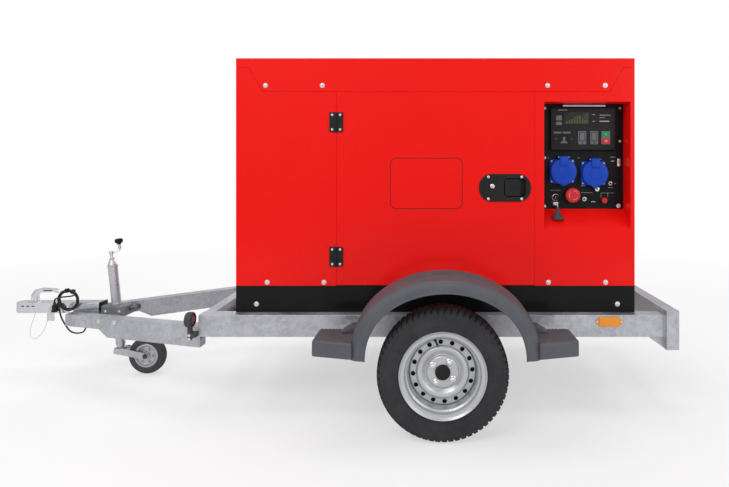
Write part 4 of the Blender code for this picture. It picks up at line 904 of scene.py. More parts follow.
def vent_patch(index, side, count=6):
    """Patch between a circle and its sector: p = (1 - t) circle + t border, in (radius, angle)."""
    middle = sum(RING) / 2
    half_angle = np.pi / VENT_COUNT
    line = np.arange(count) / count
    low, high = RING[0] - middle, RING[1] - middle
    border = np.concatenate([
        np.stack([np.full(count, high), half_angle * (2 * line - 1)], -1),
        np.stack([high - (high - low) * line, np.full(count, half_angle)], -1),
        np.stack([np.full(count, low), half_angle * (1 - 2 * line)], -1),
        np.stack([low + (high - low) * line, np.full(count, -half_angle)], -1)])
    turn = np.arctan2(border[:, 1] * middle, border[:, 0])
    hole = np.stack([VENT * np.cos(turn), VENT * np.sin(turn) / middle], -1)
    share = np.array([0.0, 0.12, 0.5, 1.0])[:, None, None]
    face = (1 - share) * hole + share * border
    radius, angle = middle + face[..., 0], VENT_PHASE + 2 * np.pi * index / VENT_COUNT + face[..., 1]
    front = disc_height(radius) - np.array([0.0009, 0.0, 0.0, 0.0])[:, None]
    back = (disc_height(radius) - DISC_WALL)[:1]
    rows = np.concatenate([around(radius[:1], angle[:1], back, side), around(radius, angle, front, side)])
    points = rows.reshape(-1, 3)
    faces = grid_faces(len(rows), rows.shape[1], False, True)
    return facing(points, faces, -1, (0, side, 0))


# outer lip, outer bead seat, the well, inner bead seat, inner lip: radius and height
BARREL = [(0.14, -0.02), (0.1408, -0.004), (0.1425, 0.01), (0.1446, 0.0195), (0.1462, 0.03),
          (0.1482, 0.0345), (0.152, 0.0368), (0.1552, 0.0388), (0.1568, 0.043), (0.158, 0.05),
          (0.1602, 0.0532), (0.166, 0.0545), (0.1715, 0.0556), (0.1752, 0.058), (0.1782, 0.0625),
          (0.1806, 0.0637), (0.1822, 0.0622), (0.1824, 0.059), (0.18, 0.056), (0.176, 0.0535),
          (0.17, 0.052), (0.162, 0.051), (0.16, 0.045), (0.16, 0.033), (0.15, 0.018),
          (0.15, -0.022), (0.16, -0.032), (0.16, -0.052), (0.17, -0.0545), (0.181, -0.059),
          (0.1822, -0.062), (0.18, -0.0637), (0.177, -0.059), (0.156, -0.054), (0.1545, -0.033),
          (0.1445, -0.022), (0.14, -0.02)]

for side, name in ((-1, "near"), (1, "far")):
    steps = VENT_COUNT * 6
    hub = around(0.0, 0.0, 0.0, side)
    inner = DISC[DISC[:, 0] <= RING[0] + 1e-6]
    outer = DISC[DISC[:, 0] >= RING[1] - 1e-6]
    parts = [shell_ring(rounded(inner, 0.003, 3), side, steps, DISC_WALL),
             shell_ring(outer, side, steps, DISC_WALL), shell_ring(BARREL[:-1], side, steps, 0.0)]
    parts += [vent_patch(i, side) for i in range(VENT_COUNT)]
    drum = [(0.0, -0.002), (0.105, -0.002), (0.112, -0.012), (0.112, -0.05), (0.0, -0.05)]
    piece(name + "_wheel_disc", parts, WHEEL_SILVER, name + "_wheel", (name + "_rim",), 38)
    piece(name + "_brake_drum", [revolve(rounded(drum, 0.004), hub, (0, side, 0), 48)],
          DARK_STEEL, name + "_wheel", slot="cast_iron")
    # painted shade: a black ring behind the vents, so the holes show dark as the shade inside a wheel does
    shade_ring = [(0.1, -0.01), (0.1385, -0.0105), (0.1385, -0.0135), (0.1, -0.013)]
    piece(name + "_vent_shade_ring", [revolve(shade_ring, hub, (0, side, 0), 64, True)],
          BLACK_COAT, name + "_wheel", slot="cast_iron")
print("wheels: 2 discs of", VENT_COUNT, "vents")

# %% [markdown]
# Small parts finish a wheel: four bolts with round seats, a plain black cap over the hub nut, and a rubber
# valve that leans out through its hole in the rim.

# %% Wheel bolts, caps and valves
BOLT_RING, FIRST_BOLT = 0.05, 56
BOLT_SEAT = [(0.0, 0.0005), (0.0125, 0.0005), (0.0145, 0.0), (0.015, 0.0018), (0.012, 0.0042),
             (0.0, 0.0042)]
BOLT_HEAD = [(0.0, 0.0115), (0.0058, 0.0115), (0.0082, 0.0102), (0.0084, 0.003), (0.0, 0.003)]

for side, name in ((-1, "near"), (1, "far")):
    bolts = []
    for k in range(4):
        seat = around(BOLT_RING, math.radians(FIRST_BOLT + 90 * k), 0.0142, side)
        bolts += [revolve(BOLT_SEAT, seat, (0, side, 0), 24), revolve(BOLT_HEAD, seat, (0, side, 0), 6)]
    piece(name + "_wheel_bolts", bolts, BRIGHT_ZINC, name + "_wheel", smooth=30)
    cap = [(0.0, 0.0262), (0.014, 0.026), (0.0245, 0.025), (0.0295, 0.0232), (0.0318, 0.0205),
           (0.0324, 0.014),
           (0.0, 0.014)]
    piece(name + "_hub_cap", [revolve(rounded(cap, 0.0012), around(0.0, 0.0, 0.0, side), (0, side, 0))],
          BLACK_MOULDED, name + "_wheel")
    foot = around(0.1395, math.radians(103.5), 0.0125, side)
    tip = around(0.1175, math.radians(100.5), 0.0265, side)
    stem = [(0.0, 0.0), (0.0062, 0.0), (0.0058, 0.004), (0.0042, 0.008), (0.004, 0.0175), (0.0036, 0.0178),
            (0.0048, 0.0182), (0.0048, 0.0262), (0.0036, 0.0272), (0.0, 0.0272)]
    piece(name + "_valve", [revolve(stem, foot, tip - foot, 16)], BLACK_MOULDED, name + "_wheel")
print("wheel fittings on both sides")


# %% [markdown]
# ## Mudguards
# Each guard is one moulding: an arch with a rounded shoulder, and a tread step before and behind. The arch is
# a section carried along half an ellipse, where the section's first number slides each point between an inner
# and an outer ellipse. Small studs on the crown and the steps give a foot its grip.

# %% Sheets and studs
def thick_sheet(grid, wall, out):
    """Closed sheet on a grid of points p: its other side is p - wall n, n the cross of the grid's two
    directions, turned to agree with out."""
    n = np.cross(np.gradient(grid, axis=0), np.gradient(grid, axis=1))
    n /= np.linalg.norm(n, axis=-1, keepdims=True) + 1e-12
    if np.sum(n * np.asarray(out, float)) < 0:
        n = -n
    loop = np.concatenate([grid, (grid - wall * n)[:, ::-1]], 1)
    first, last = (0.5 * (loop[i] + loop[i][::-1])[None] for i in (0, -1))
    loop = np.concatenate([first, loop, last])
    points = loop.reshape(-1, 3)
    faces = grid_faces(loop.shape[0], loop.shape[1], False, True)
    quad = (loop.shape[0] // 2) * loop.shape[1] + grid.shape[1] // 2
    return facing(points, faces, quad, n[grid.shape[0] // 2 - 1, grid.shape[1] // 2])


def studs(centres, normals, radius, height):
    """Low domes: rings c + k r (cos a u + sin a v) + h n, six steps round, for all centres at once."""
    centres, normals = np.asarray(centres, float), np.asarray(normals, float)
    u = np.cross(normals, [0.0, 1.0, 0.0])
    u /= np.linalg.norm(u, axis=1, keepdims=True)
    v = np.cross(normals, u)
    angle = np.arange(6) * np.pi / 3
    shape = np.array([(1.0, -0.2), (0.72, 0.75), (0.0, 1.0)])
    ring = np.cos(angle)[:, None] * u[:, None, None] + np.sin(angle)[:, None] * v[:, None, None]
    points = (centres[:, None, None] + radius * shape[:, 0, None, None] * ring
              + height * shape[:, 1, None, None] * normals[:, None, None])
    count = len(centres)
    one = grid_faces(3, 6, False, True)
    faces = (one[None] + 18 * np.arange(count)[:, None, None]).reshape(-1, 4)
    flat = points.reshape(-1, 3)
    return facing(flat, faces, 0, flat[one[0]].mean(0) - centres[0])


print("sheets and studs: thick_sheet and studs")


# %% Mudguards
GUARD_AT = (0.622, 0.372)
OUTER, INNER = (0.395, 0.303), (0.327, 0.25)
GUARD_Y = (0.61, 0.83)
END_DROP = 0.024
STEP_AT, STEP_LONG, STEP_TOP = 0.377, 0.17, 0.4196
STEP_LEVELS = [(None, STEP_TOP), (0.012, STEP_TOP), (0.006, 0.4188), (0.0018, 0.415), (0.0, 0.41),
               (-0.0005, 0.356), (0.0005, 0.3552), (0.0035, 0.3556), (0.004, 0.412), (0.008, 0.415),
               (None, 0.4155)]
ARCH_SECTION = rounded([(1.0, 0.0), (1.0, 0.5), (0.985, 0.6), (0.955, 0.72), (0.9, 0.85), (0.8, 0.9),
                        (0.66, 0.925), (0.56, 0.955), (0.3, 0.97), (0.05, 0.975), (0.0, 1.0)], 0.06, 3)


def arch_points(angle, share, v, side):
    """p = c + (w cos a, h sin a): w and h lie between the two ellipses by the share, y by v."""
    half = INNER[0] + (OUTER[0] - INNER[0]) * share
    rise = INNER[1] + (OUTER[1] - INNER[1]) * share
    x = GUARD_AT[0] + half * np.cos(angle)
    z = GUARD_AT[1] + rise * np.sin(angle) - END_DROP * (1 - np.sin(angle)) ** 3
    y = side * (GUARD_Y[0] + (GUARD_Y[1] - GUARD_Y[0]) * v)
    return np.stack(np.broadcast_arrays(x, y, z), -1)


def tread_grid(x, y, pitch=(0.016, 0.014)):
    """Staggered rows of points inside a rectangle."""
    columns = np.arange(x[0], x[1], pitch[0])
    rows = np.arange(y[0], y[1], pitch[1])
    a, b = np.meshgrid(columns, rows, indexing="ij")
    return a + (np.arange(len(rows)) % 2) * pitch[0] / 2, b


for side, name in ((-1, "near"), (1, "far")):
    angle = np.linspace(0.0, np.pi, 97)[:, None]
    shell = arch_points(angle, ARCH_SECTION[:, 0], ARCH_SECTION[:, 1], side)
    parts = [thick_sheet(shell, 0.004, (0.0, side * 0.2, 1.0))]
    for way in (-1, 1):
        edge = GUARD_AT[0] + way * STEP_AT
        end = edge + way * STEP_LONG
        plan = np.array([(edge, 0.612), (end, 0.612), (end, 0.782), (edge, 0.826)])
        plan[:, 1] *= side
        step = rounded(plan, 0.016, 5, closed=True)
        parts.append(layered(step, STEP_LEVELS, "Z"))
        web = np.array([(edge - way * 0.012, 0.448), (edge + way * 0.022, 0.448),
                        (edge + way * 0.066, 0.4215),
                        (edge + way * 0.02, 0.41), (edge - way * 0.012, 0.41)])
        inside = sorted((side * 0.613, side * 0.69))
        parts.append(plate(rounded(web, 0.004, 2, closed=True), inside[0], inside[1], "Y", 0.003))
    piece(name + "_guard", parts, GREY_MOULDED, replaces=(name + "_mudguard",), smooth=34)

    spots, leans = [], []
    a, v = tread_grid((np.pi / 2 - 0.42, np.pi / 2 + 0.42), (0.06, 0.5), (0.033, 0.048))
    crown = arch_points(a, 1.0, v, side).reshape(-1, 3)
    lean = np.stack([np.cos(a) / OUTER[0], 0 * a, np.sin(a) / OUTER[1]], -1).reshape(-1, 3)
    spots.append(crown)
    leans.append(lean / np.linalg.norm(lean, axis=1, keepdims=True))
    for way in (-1, 1):
        edge = GUARD_AT[0] + way * STEP_AT
        x, y = tread_grid(sorted((edge + way * 0.03, edge + way * 0.155)), (0.626, 0.77))
        flat = np.stack([x, side * y, np.full_like(x, STEP_TOP)], -1).reshape(-1, 3)
        flat = flat[(np.abs(flat[:, 1]) > 0.7) | (np.abs(flat[:, 0] - edge) > 0.075)]
        spots.append(flat)
        leans.append(np.tile([0.0, 0.0, 1.0], (len(flat), 1)))
    piece(name + "_guard_studs", [studs(np.concatenate(spots), np.concatenate(leans), 0.0052, 0.003)],
          GREY_MOULDED, smooth=30)
    y = sorted((side * 0.5004, side * 0.612))
    stays = [block((x, y[0], 0.3752), (x + 0.04, y[1], 0.3828), 0.0012) for x in (0.207, 0.997)]
    piece(name + "_guard_stays", stays, GALVANISED_FINE)
    print(name, "mudguard:", len(np.concatenate(spots)), "studs")


# %% [markdown]
# ## Canopy
# The canopy is folded from two millimetre sheet and powder coated red. Its folds are small, so welded copies
# of the solids with a bevel are enough, and the eye is led by the seams, the dome screws and the hinges.

# %% Canopy panels
SIDE_Y = -0.45
TOP_ROW, LOW_ROW, BASE_ROW = 1.506, 0.588, 0.487
SCREW_ROWS = {TOP_ROW: (-0.208, 0.057, 1.108, 1.376), LOW_ROW: (-0.2, 0.065, 1.111, 1.378),
              BASE_ROW: (-0.25, 1.433)}
SCREW_R = 0.0088

for node in ("front_shell", "rear_shell", "top_cover", "near_door", "far_panel"):
    finished(node, RED_COAT, 0.0009)
finished("canopy_base", BLACK_COAT, 0.0012)

# the thin dark gasket that shows in the seam over the base
gasket = block((-0.3445, SIDE_Y + 0.004, 0.5722), (1.5125, SIDE_Y + 0.008, 0.5745), 0.0005, 2)
piece("seam_gasket", [gasket], BLACK_MOULDED)

heads = [dome_screw((x, side * 0.4501, z), (0, side, 0), SCREW_R)
         for z, row in SCREW_ROWS.items() for x in row for side in (-1, 1)]
heads += [dome_screw((x, y, z), (end, 0, 0), SCREW_R)
          for end, x in ((-1, -0.3461), (1, 1.5141)) for y in (-0.36, 0.36) for z in (LOW_ROW, TOP_ROW)]
piece("canopy_screws", heads, SCREW_STEEL, smooth=35)
print("canopy screws:", len(heads))

# %% [markdown]
# ### Air grilles
# The engine breathes through the front wall and the alternator through the tail. Pressed louvres do both: a
# louvre is a bulge whose height rises across the slot and falls along it, cut open at its lower edge.

# %% Louvres
LOUVRES = [(y, z) for y in (-0.175, 0.175) for z in np.arange(0.72, 1.34, 0.052)]
LOUVRE_HALF, LOUVRE_TALL, LOUVRE_DEPTH = 0.15, 0.03, 0.0085


def louvre(y, z, wall_x, end):
    """x = wall + depth sin(pi u / 2) (1 - |v|^6): u climbs the slot, v runs along it."""
    u = np.linspace(0.0, 1.0, 7)[:, None]
    v = np.linspace(-1.0, 1.0, 21)[None]
    x = wall_x + end * (LOUVRE_DEPTH * np.sin(np.pi * u / 2) * (1 - np.abs(v) ** 6) + 0.0002)
    grid = np.stack(np.broadcast_arrays(x, y + LOUVRE_HALF * v, z + LOUVRE_TALL * (1 - u)), -1)
    return thick_sheet(grid, 0.0012, (end, 0.0, 0.0))


for name, wall_x, end in (("front_louvres", -0.346, -1), ("rear_louvres", 1.514, 1)):
    piece(name, [louvre(y, z, wall_x, end) for y, z in LOUVRES], RED_COAT, smooth=30)
    # painted shade: a thin black strip on the wall under each louvre stands for the dark gap below its open
    # edge
    faces = sorted((wall_x + end * 0.0001, wall_x + end * 0.0006))
    slot_shades = [plate(stadium(y - 0.146, y + 0.146, z - 0.004, z + 0.002, 0.0029, 4), *faces, "X", 0.0001, 1)
             for y, z in LOUVRES]
    piece(name + "_shade_strips", slot_shades, BLACK_MOULDED)
print("louvres:", 2 * len(LOUVRES), "over the front and tail walls")

# %% [markdown]
# ### Hinges and latch
# The hinges are black moulded covers over steel leaves, held by four dome screws each. The latch is a stadium
# shaped cup with a paddle that lifts out under the fingers.

# %% Door hinges
HINGE_Z = (0.7075, 1.334)
TO_NEAR = (0, -1, 0)


def hinge_leaves(x_low, x_high, screw_x, back, front):
    """The moulded covers of both hinges on one side of the seam, and their screws."""
    levels = [(None, back), (0.0, back), (0.0002, front + 0.0011), (0.0012, front), (None, front)]
    covers = [layered(stadium(x_low, x_high, z - 0.0465, z + 0.0465, 0.006, 6), levels) for z in HINGE_Z]
    screws = [dome_screw((screw_x, front, z + dz), TO_NEAR, 0.005, 1.2)
              for z in HINGE_Z for dz in (-0.034, 0.034)]
    return covers, screws


covers, screws = hinge_leaves(0.0898, 0.1216, 0.1035, -0.4503, -0.4539)
for z in HINGE_Z:
    covers.append(peg(0.0043, -0.047, 0.047, (0.1226, -0.4585, z), (0, 0, 1), 20))
    covers.append(block((0.118, -0.459, z - 0.0455), (0.1216, -0.452, z + 0.0455), 0.0012))
piece("hinge_covers", covers, BLACK_MOULDED, replaces=("upper_hinge", "lower_hinge"))
piece("hinge_screws", screws, SCREW_STEEL)
flaps, screws = hinge_leaves(0.1242, 0.1545, 0.1405, -0.452, -0.4552)
piece("door_hinge_covers", flaps, BLACK_MOULDED, "door")
piece("door_hinge_screws", screws, SCREW_STEEL, "door")

# %% Latch
LATCH = stadium(0.788, 1.029, 0.964, 1.093, 0.058, 14)
WELL = stadium(0.9045, 1.0065, 0.9845, 1.0735, 0.022, 14)
rim_levels = [(0.0, -0.4503), (0.0, -0.4532), (0.02, -0.4546), (0.1, -0.4549), (0.92, -0.4549),
              (0.99, -0.4543),
              (1.0, -0.452), (1.0, -0.429)]
well_floor = stadium(0.905, 1.006, 0.985, 1.073, 0.022, 14)
body = [cup_frame(LATCH, WELL, rim_levels),
        layered(well_floor, [(None, -0.4295), (0.0, -0.4295), (0.0, -0.4275), (None, -0.4275)])]
piece("latch_cup", body, BLACK_MOULDED, "door", ("latch_body",), 35)
paddle_levels = [(None, -0.4478), (0.0, -0.4478), (0.0003, -0.4518), (0.002, -0.4528), (0.006, -0.453),
                 (0.014, -0.4512), (0.022, -0.4506), (None, -0.4505)]
paddle = [layered(stadium(0.9082, 0.982, 0.9895, 1.0685, 0.012, 8), paddle_levels),
          block((0.976, -0.4536, 0.996), (0.9822, -0.449, 1.062), 0.0018)]
piece("latch_grip", paddle, BLACK_MOULDED, "paddle", ("latch_paddle",), 35)
barrel = [(0.0, 0.0098), (0.003, 0.0098), (0.0034, 0.0082), (0.0062, 0.0082), (0.0084, 0.0076),
          (0.0105, 0.0058),
          (0.0112, 0.0), (0.0, 0.0)]
fix = [revolve(barrel, (0.85, -0.45, 1.036), TO_NEAR, 28)]
fix += [dome_screw((x, -0.4549, z), TO_NEAR, 0.0056, 1.25)
        for x in (0.831, 0.986) for z in (0.9775, 1.0795)]
piece("latch_lock_and_screws", fix, SCREW_STEEL, "door", smooth=35)

# plain outline of a rounded plaque on the door, printed in dark red
line = [(0.0, -0.4499), (0.0, -0.45025), (1.0, -0.45025), (1.0, -0.4499)]
piece("door_outline", [ring_plate((0.372, 0.712), (0.929, 1.169), 0.0045, (0.03, 0.0255), line, 12)],
      RED_PRINT,
      "door")
print("door fittings made")


# %% [markdown]
# ## Trailer frame
# The rails, crossmembers and drawbar are rolled and welded steel, dipped in zinc after welding. Their corners
# keep the radius of the bending tool, so the welded copies get a wider bevel than the sheet metal does.

# %% Frame members
for nodes, finish, width, segments in (
        (("near_rail", "far_rail", "front_crossmember", "rear_crossmember"), GALVANISED, 0.0014, 2),
        (("near_drawbar_beam", "far_drawbar_beam"), GALVANISED, 0.005, 3),
        (("coupling_tube",), GALVANISED_FINE, 0.006, 3),
        (("axle_tube",), GALVANISED, 0.004, 2),
        (("near_swing_arm", "far_swing_arm"), GALVANISED, 0.0015, 2)):
    for node in nodes:
        finished(node, finish, width, segments)


def bead(start, end, radius):
    """Weld along a straight seam: a tube with r = R (1 + 0.18 cos(2 pi s / pitch)), as it was laid."""
    start, end = np.asarray(start, float), np.asarray(end, float)
    length = np.linalg.norm(end - start)
    s = np.linspace(0.0, length, max(8, int(length / 0.0016)))
    u, v, w = basis(end - start)
    r = radius * (1 + 0.18 * np.cos(2 * np.pi * s / 0.005))
    angle = np.arange(8) * np.pi / 4
    ring = np.cos(angle)[:, None] * u + np.sin(angle)[:, None] * v
    return tube(start + s[:, None, None] * w + r[:, None, None] * ring)


beads = []
for side in (-1, 1):
    for (x, y, z), (x_end, y_end, z_end), radius in (
            ((-0.499, 0.4975, 0.3525), (-0.499, 0.4975, 0.444), 0.0022),
            ((1.634, 0.5005, 0.35), (1.634, 0.5005, 0.447), 0.0024),
            ((-0.502, 0.42, 0.392), (-0.502, 0.48, 0.392), 0.0022)):
        beads.append(bead((x, side * y, z), (x_end, side * y_end, z_end), radius))
piece("weld_beads", beads, GALVANISED_FINE)

# %% [markdown]
# ### Bolts, end cap and reflectors
# The drawbar bolts on, so that a longer one can be fitted, and a reflector sits on each rail.

# %% Drawbar bolts and end cap
BEAM_NOSE, BEAM_RUN = -1.367, 0.867
BEAM_SPREAD, BEAM_CLIMB = 0.38, 0.046
BEAM_LEAN = math.atan(BEAM_SPREAD / BEAM_RUN)


def beam_side(x):
    """Outer face of a drawbar beam at x, and the height of the beam's top."""
    share = (x - BEAM_NOSE) / BEAM_RUN
    return 0.07 + BEAM_SPREAD * share + 0.03 / math.cos(BEAM_LEAN), 0.345 + BEAM_CLIMB * share


bolts = []
for x in (-1.127, -1.022):
    for side in (-1, 1):
        y, top = beam_side(x)
        square_out = (-math.sin(BEAM_LEAN), side * math.cos(BEAM_LEAN), 0.0)
        bolts.append(hex_bolt((x, side * (y + 0.0003), top - 0.0185), square_out, 0.0078, 0.007))
piece("drawbar_bolts", bolts, SCREW_STEEL, smooth=30)
piece("tube_end_cap", [block((-1.229, -0.0378, 0.3448), (-1.2195, 0.0378, 0.393), 0.0035)], BLACK_MOULDED)

# %% Side reflectors
def reflector(x, z, side):
    """Amber bar with a screw ear at each end, on the rail's outer face."""
    face = side * 0.5003

    def out(*levels):
        return [(inward, face + side * height) for inward, height in levels]
    bar = stadium(x - 0.0475, x + 0.0475, z - 0.022, z + 0.022, 0.006, 6)
    body = [layered(bar, out((None, 0.0), (0.0, 0.0), (0.0, 0.005), (0.0015, 0.007), (0.005, 0.0076),
                             (None, 0.0077)))]
    body += [layered(stadium(x + k * 0.052 - 0.008, x + k * 0.052 + 0.008, z - 0.011, z + 0.011, 0.007, 6),
                     out((None, 0.0), (0.0, 0.0), (0.0, 0.003), (0.001, 0.0038), (None, 0.0038)))
             for k in (-1, 1)]
    heads = [dome_screw((x + k * 0.0545, face + side * 0.0038, z), (0, side, 0), 0.0036, 1.1, 12)
             for k in (-1, 1)]
    return body, heads


for side, name in ((-1, "near"), (1, "far")):
    body, heads = reflector(1.3785, 0.418, side)
    piece(name + "_reflector", body, AMBER_LENS, smooth=30)
    piece(name + "_reflector_screws", heads, SCREW_STEEL)


# %% [markdown]
# ## Ball coupling and jockey wheel
# The coupling head is a pressing, so its corners are wide. Its handle is held by a cross pin, and two bolts
# pass through the head and the tube. The jockey leg leans back by 6 degrees and everything on it is turned
# about that line: p = foot + a up, with up = (-sin 6, 0, cos 6).

# %% Coupling head and handle
finished("coupling_head", BRIGHT_ZINC, 0.0045, 3)
finished("coupling_handle", BRIGHT_ZINC, 0.003, 3)
bolts = [hex_bolt((x, side * 0.0352, 0.364), (0, side, 0), 0.007, 0.0065)
         for side in (-1, 1) for x in (-1.445, -1.398)]
piece("coupling_bolts", bolts, SCREW_STEEL, smooth=30)
pins = [hex_bolt((-1.6, side * 0.0131, 0.4045), (0, side, 0), 0.0048, 0.0045) for side in (-1, 1)]
piece("handle_pin", pins, SCREW_STEEL, "handle", smooth=30)
# painted shade: thin dark plates on both sides of the head stand for the shade inside three cuts in it
slot_shades = [layered(stadium(x - 0.0085, x + 0.0085, 0.369, 0.3755, 0.0032, 6),
                 [(None, side * 0.0352), (0.0, side * 0.0352), (0.0, side * 0.0356), (None, side * 0.0356)])
         for x in (-1.64, -1.612, -1.584) for side in (-1, 1)]
piece("head_slot_shades", slot_shades, DARK_STEEL)
pad = plate(stadium(-1.544, -1.496, 0.4487, 0.456, 0.003, 5), -0.0138, 0.0138, "Y", 0.0015)
piece("handle_grip", [pad], GREY_MOULDED, "handle")

# %% Jockey leg
LEAN = math.radians(6.0)
UP = np.array([-math.sin(LEAN), 0.0, math.cos(LEAN)])
FOOT = np.array([-1.1489, 0.0, 0.345])
KNOB_Y = 0.085
THREAD_PITCH = 0.005


def on_leg(along, across=0.0):
    """Point of the leg's line at a distance along it, moved sideways in Y."""
    return FOOT + along * UP + np.array([0.0, across, 0.0])


def screw_thread(low, high, radius, steps=20):
    """Helix of ridges on the leg's line: r = R (1 + 0.09 cos(2 pi h / pitch - a))."""
    height = np.arange(low, high, THREAD_PITCH / 4)
    angle = np.arange(steps) * 2 * np.pi / steps
    u, v, w = basis(UP)
    r = radius * (1 + 0.09 * np.cos(2 * np.pi * height[:, None] / THREAD_PITCH - angle[None]))
    ring = np.cos(angle)[:, None] * u + np.sin(angle)[:, None] * v
    return tube(FOOT + r[..., None] * ring[None] + height[:, None, None] * w,
                (on_leg(height[0]), on_leg(height[-1])))


shell = [(0.0212, -0.1895), (0.024, -0.1895), (0.024, 0.244), (0.0236, 0.248), (0.0225, 0.2505),
         (0.013, 0.2755), (0.0085, 0.2775), (0.0085, 0.262), (0.0212, 0.24)]
outer = revolve(rounded(shell, 0.0012, 2, True), FOOT, UP, 56, True)
bands = [collar(0.0239, 0.0262, low, high, FOOT, UP, 56) for low, high in ((0.029, 0.041), (0.234, 0.244))]
piece("jockey_tube", [outer] + bands, GALVANISED_FINE, "jockey_leg", ("jockey_outer_tube",), 35)
piece("jockey_sleeve", [collar(0.017, 0.0204, -0.2045, 0.0595, FOOT, UP)], BRIGHT_ZINC, "jockey_shaft",
      ("jockey_inner_tube",), 35)

turned = [peg(0.0076, 0.059, 0.317, FOOT, UP, 24, 0.0012), peg(0.014, 0.2787, 0.2838, FOOT, UP, 32),
          peg(0.0105, 0.303, 0.3215, FOOT, UP, 32, 0.002, 3)]
arm = spline([on_leg(0.312, -0.003), on_leg(0.312, 0.03), on_leg(0.312, 0.06), on_leg(0.3124, 0.079),
              on_leg(0.317, 0.0848), on_leg(0.326, KNOB_Y), on_leg(0.34, KNOB_Y)], 0.003)
ferrule = rounded([(0.0, 0.325), (0.009, 0.325), (0.0074, 0.342), (0.0088, 0.348), (0.0, 0.348)], 0.0012, 2)
crank = [screw_thread(-0.15, 0.06, 0.0073)] + turned
crank += [sweep(arm, circle(0.0053, 14), False, (1.0, 0.0, 0.0)),
          revolve(ferrule, on_leg(0, KNOB_Y), UP, 28)]
piece("crank_rod", crank, BRIGHT_ZINC, "crank", ("jockey_crank",))


def fluted(profile, at, direction, count, depth, share, steps):
    """Turned profile pressed in by depth share (1 - cos(count a)) / 2; share takes radius and height."""
    points, faces = revolve(profile, at, direction, steps)
    u, v, w = basis(direction)
    offset = points - np.asarray(at, float)
    height = offset @ w
    radial = offset - height[:, None] * w
    wave = 0.5 - 0.5 * np.cos(count * np.arctan2(radial @ v, radial @ u))
    amount = np.clip(share(np.linalg.norm(radial, axis=1), height), 0.0, 1.0)
    return points - radial * (depth * amount * wave)[:, None], faces


# the knob: a stem that swells into a ribbed cap
knob = [(0.0, 0.348), (0.0105, 0.348), (0.0128, 0.354), (0.02, 0.358), (0.0207, 0.362), (0.0207, 0.372),
        (0.019, 0.3775), (0.011, 0.3798), (0.0, 0.38)]
ribbed = fluted(rounded(knob, 0.0022, 3), on_leg(0, KNOB_Y), UP, 12, 0.045,
                lambda r, h: np.minimum(h - 0.3585, 0.375 - h) / 0.002, 48)
piece("crank_knob", [ribbed], BLACK_MOULDED, "crank")

# %% Clamp and fork
LEVER_AT = np.array([-1.066, 0.0, 0.352])
BALL_R = 0.0088

finished("jockey_clamp", CAST_METAL, 0.0045, 3)
boss = rounded([(0.0, 0.0003), (0.009, 0.0003), (0.009, 0.017), (0.0065, 0.0215), (0.0, 0.0215)], 0.0015, 3)
boss = revolve(boss, LEVER_AT - [0.016, 0.0, 0.0], (1, 0, 0), 32)
bar = spline([LEVER_AT + [0.0, y, 0.0] for y in (-0.0058, 0.03, 0.055, 0.0758)], 0.004)
piece("clamp_lever", [boss, sweep(bar, circle(0.0049, 16))], DARK_STEEL, "clamp_lever", ("clamp_handle",))
ball = [(BALL_R * math.sin(a), 0.0695 - BALL_R * math.cos(a)) for a in np.linspace(0.45, 2.75, 12)]
piece("lever_ball", [revolve([(0.0, 0.062)] + ball + [(0.0, 0.0775)], LEVER_AT, (0, 1, 0), 24)],
      BLACK_MOULDED,
      "clamp_lever")
ears = [hex_bolt((x, side * 0.0482, 0.345), (0, side, 0), 0.0062, 0.0055) for x in (-1.186, -1.112)
        for side in (-1, 1)]
piece("clamp_bolts", ears, SCREW_STEEL, smooth=30)

finished("jockey_fork", GALVANISED_FINE, 0.0012, 3, 40)
nuts = [hex_bolt((-0.981, side * 0.0336, 0.1), (0, side, 0), 0.0088, 0.0075) for side in (-1, 1)]
piece("castor_nuts", nuts, DARK_STEEL, "fork", smooth=30)

# %% [markdown]
# ### Castor
# A solid rubber tyre on a pressed disc. The section is turned about the axle: the rubber has a flat tread
# with round shoulders, and the disc dishes in from the bead to the hub, with six round hollows.

# %% Castor wheel
CASTOR = np.array([-0.981, 0.0, 0.1])
ALONG_Y = (0, 1, 0)
HOLLOW_RING, HOLLOW_R, HOLLOW_DEPTH = 0.0375, 0.0068, 0.006
half_tyre = [(0.06, -0.02), (0.072, -0.0238), (0.085, -0.024), (0.0945, -0.0195), (0.099, -0.0115),
             (0.1, -0.004)]
tyre = half_tyre + [(0.0994, 0.0)] + [(r, -h) for r, h in half_tyre[::-1]]
piece("castor_tyre", [revolve(rounded(tyre, 0.003, 3, True), CASTOR, ALONG_Y, 72, True)], CASTOR_RUBBER,
      "castor",
      ("jockey_wheel",))


def castor_disc(side):
    """Dished disc from the bead to the hub; the ring of hollows is pressed into the dish."""
    radius = np.concatenate([np.linspace(0.0062, 0.0205, 7), np.linspace(0.0225, 0.052, 17),
                             np.linspace(0.0545, 0.064, 5)])
    angle = np.linspace(0.0, 2 * np.pi, 96, endpoint=False)
    r, a = np.meshgrid(radius, angle, indexing="ij")
    depth = np.interp(r, [0.0062, 0.018, 0.0205, 0.0245, 0.034, 0.047, 0.051, 0.0545, 0.06, 0.064],
                      [0.0268, 0.0268, 0.0262, 0.0165, 0.0145, 0.0145, 0.0175, 0.0238, 0.0244, 0.0215])
    nearest = np.round(a / (np.pi / 3)) * np.pi / 3
    hollow = np.hypot(r * np.cos(a) - HOLLOW_RING * np.cos(nearest),
                      r * np.sin(a) - HOLLOW_RING * np.sin(nearest))
    depth = depth - HOLLOW_DEPTH * np.clip((HOLLOW_R - hollow) / 0.0016, 0.0, 1.0)
    front = np.stack([r * np.cos(a), side * depth, r * np.sin(a)], -1)
    back = (front - [0.0, side * 0.0022, 0.0])[::-1]
    points = CASTOR + np.concatenate([front, back]).reshape(-1, 3)
    return points, outward(points - points.mean(0), grid_faces(2 * len(radius), len(angle), True, True))


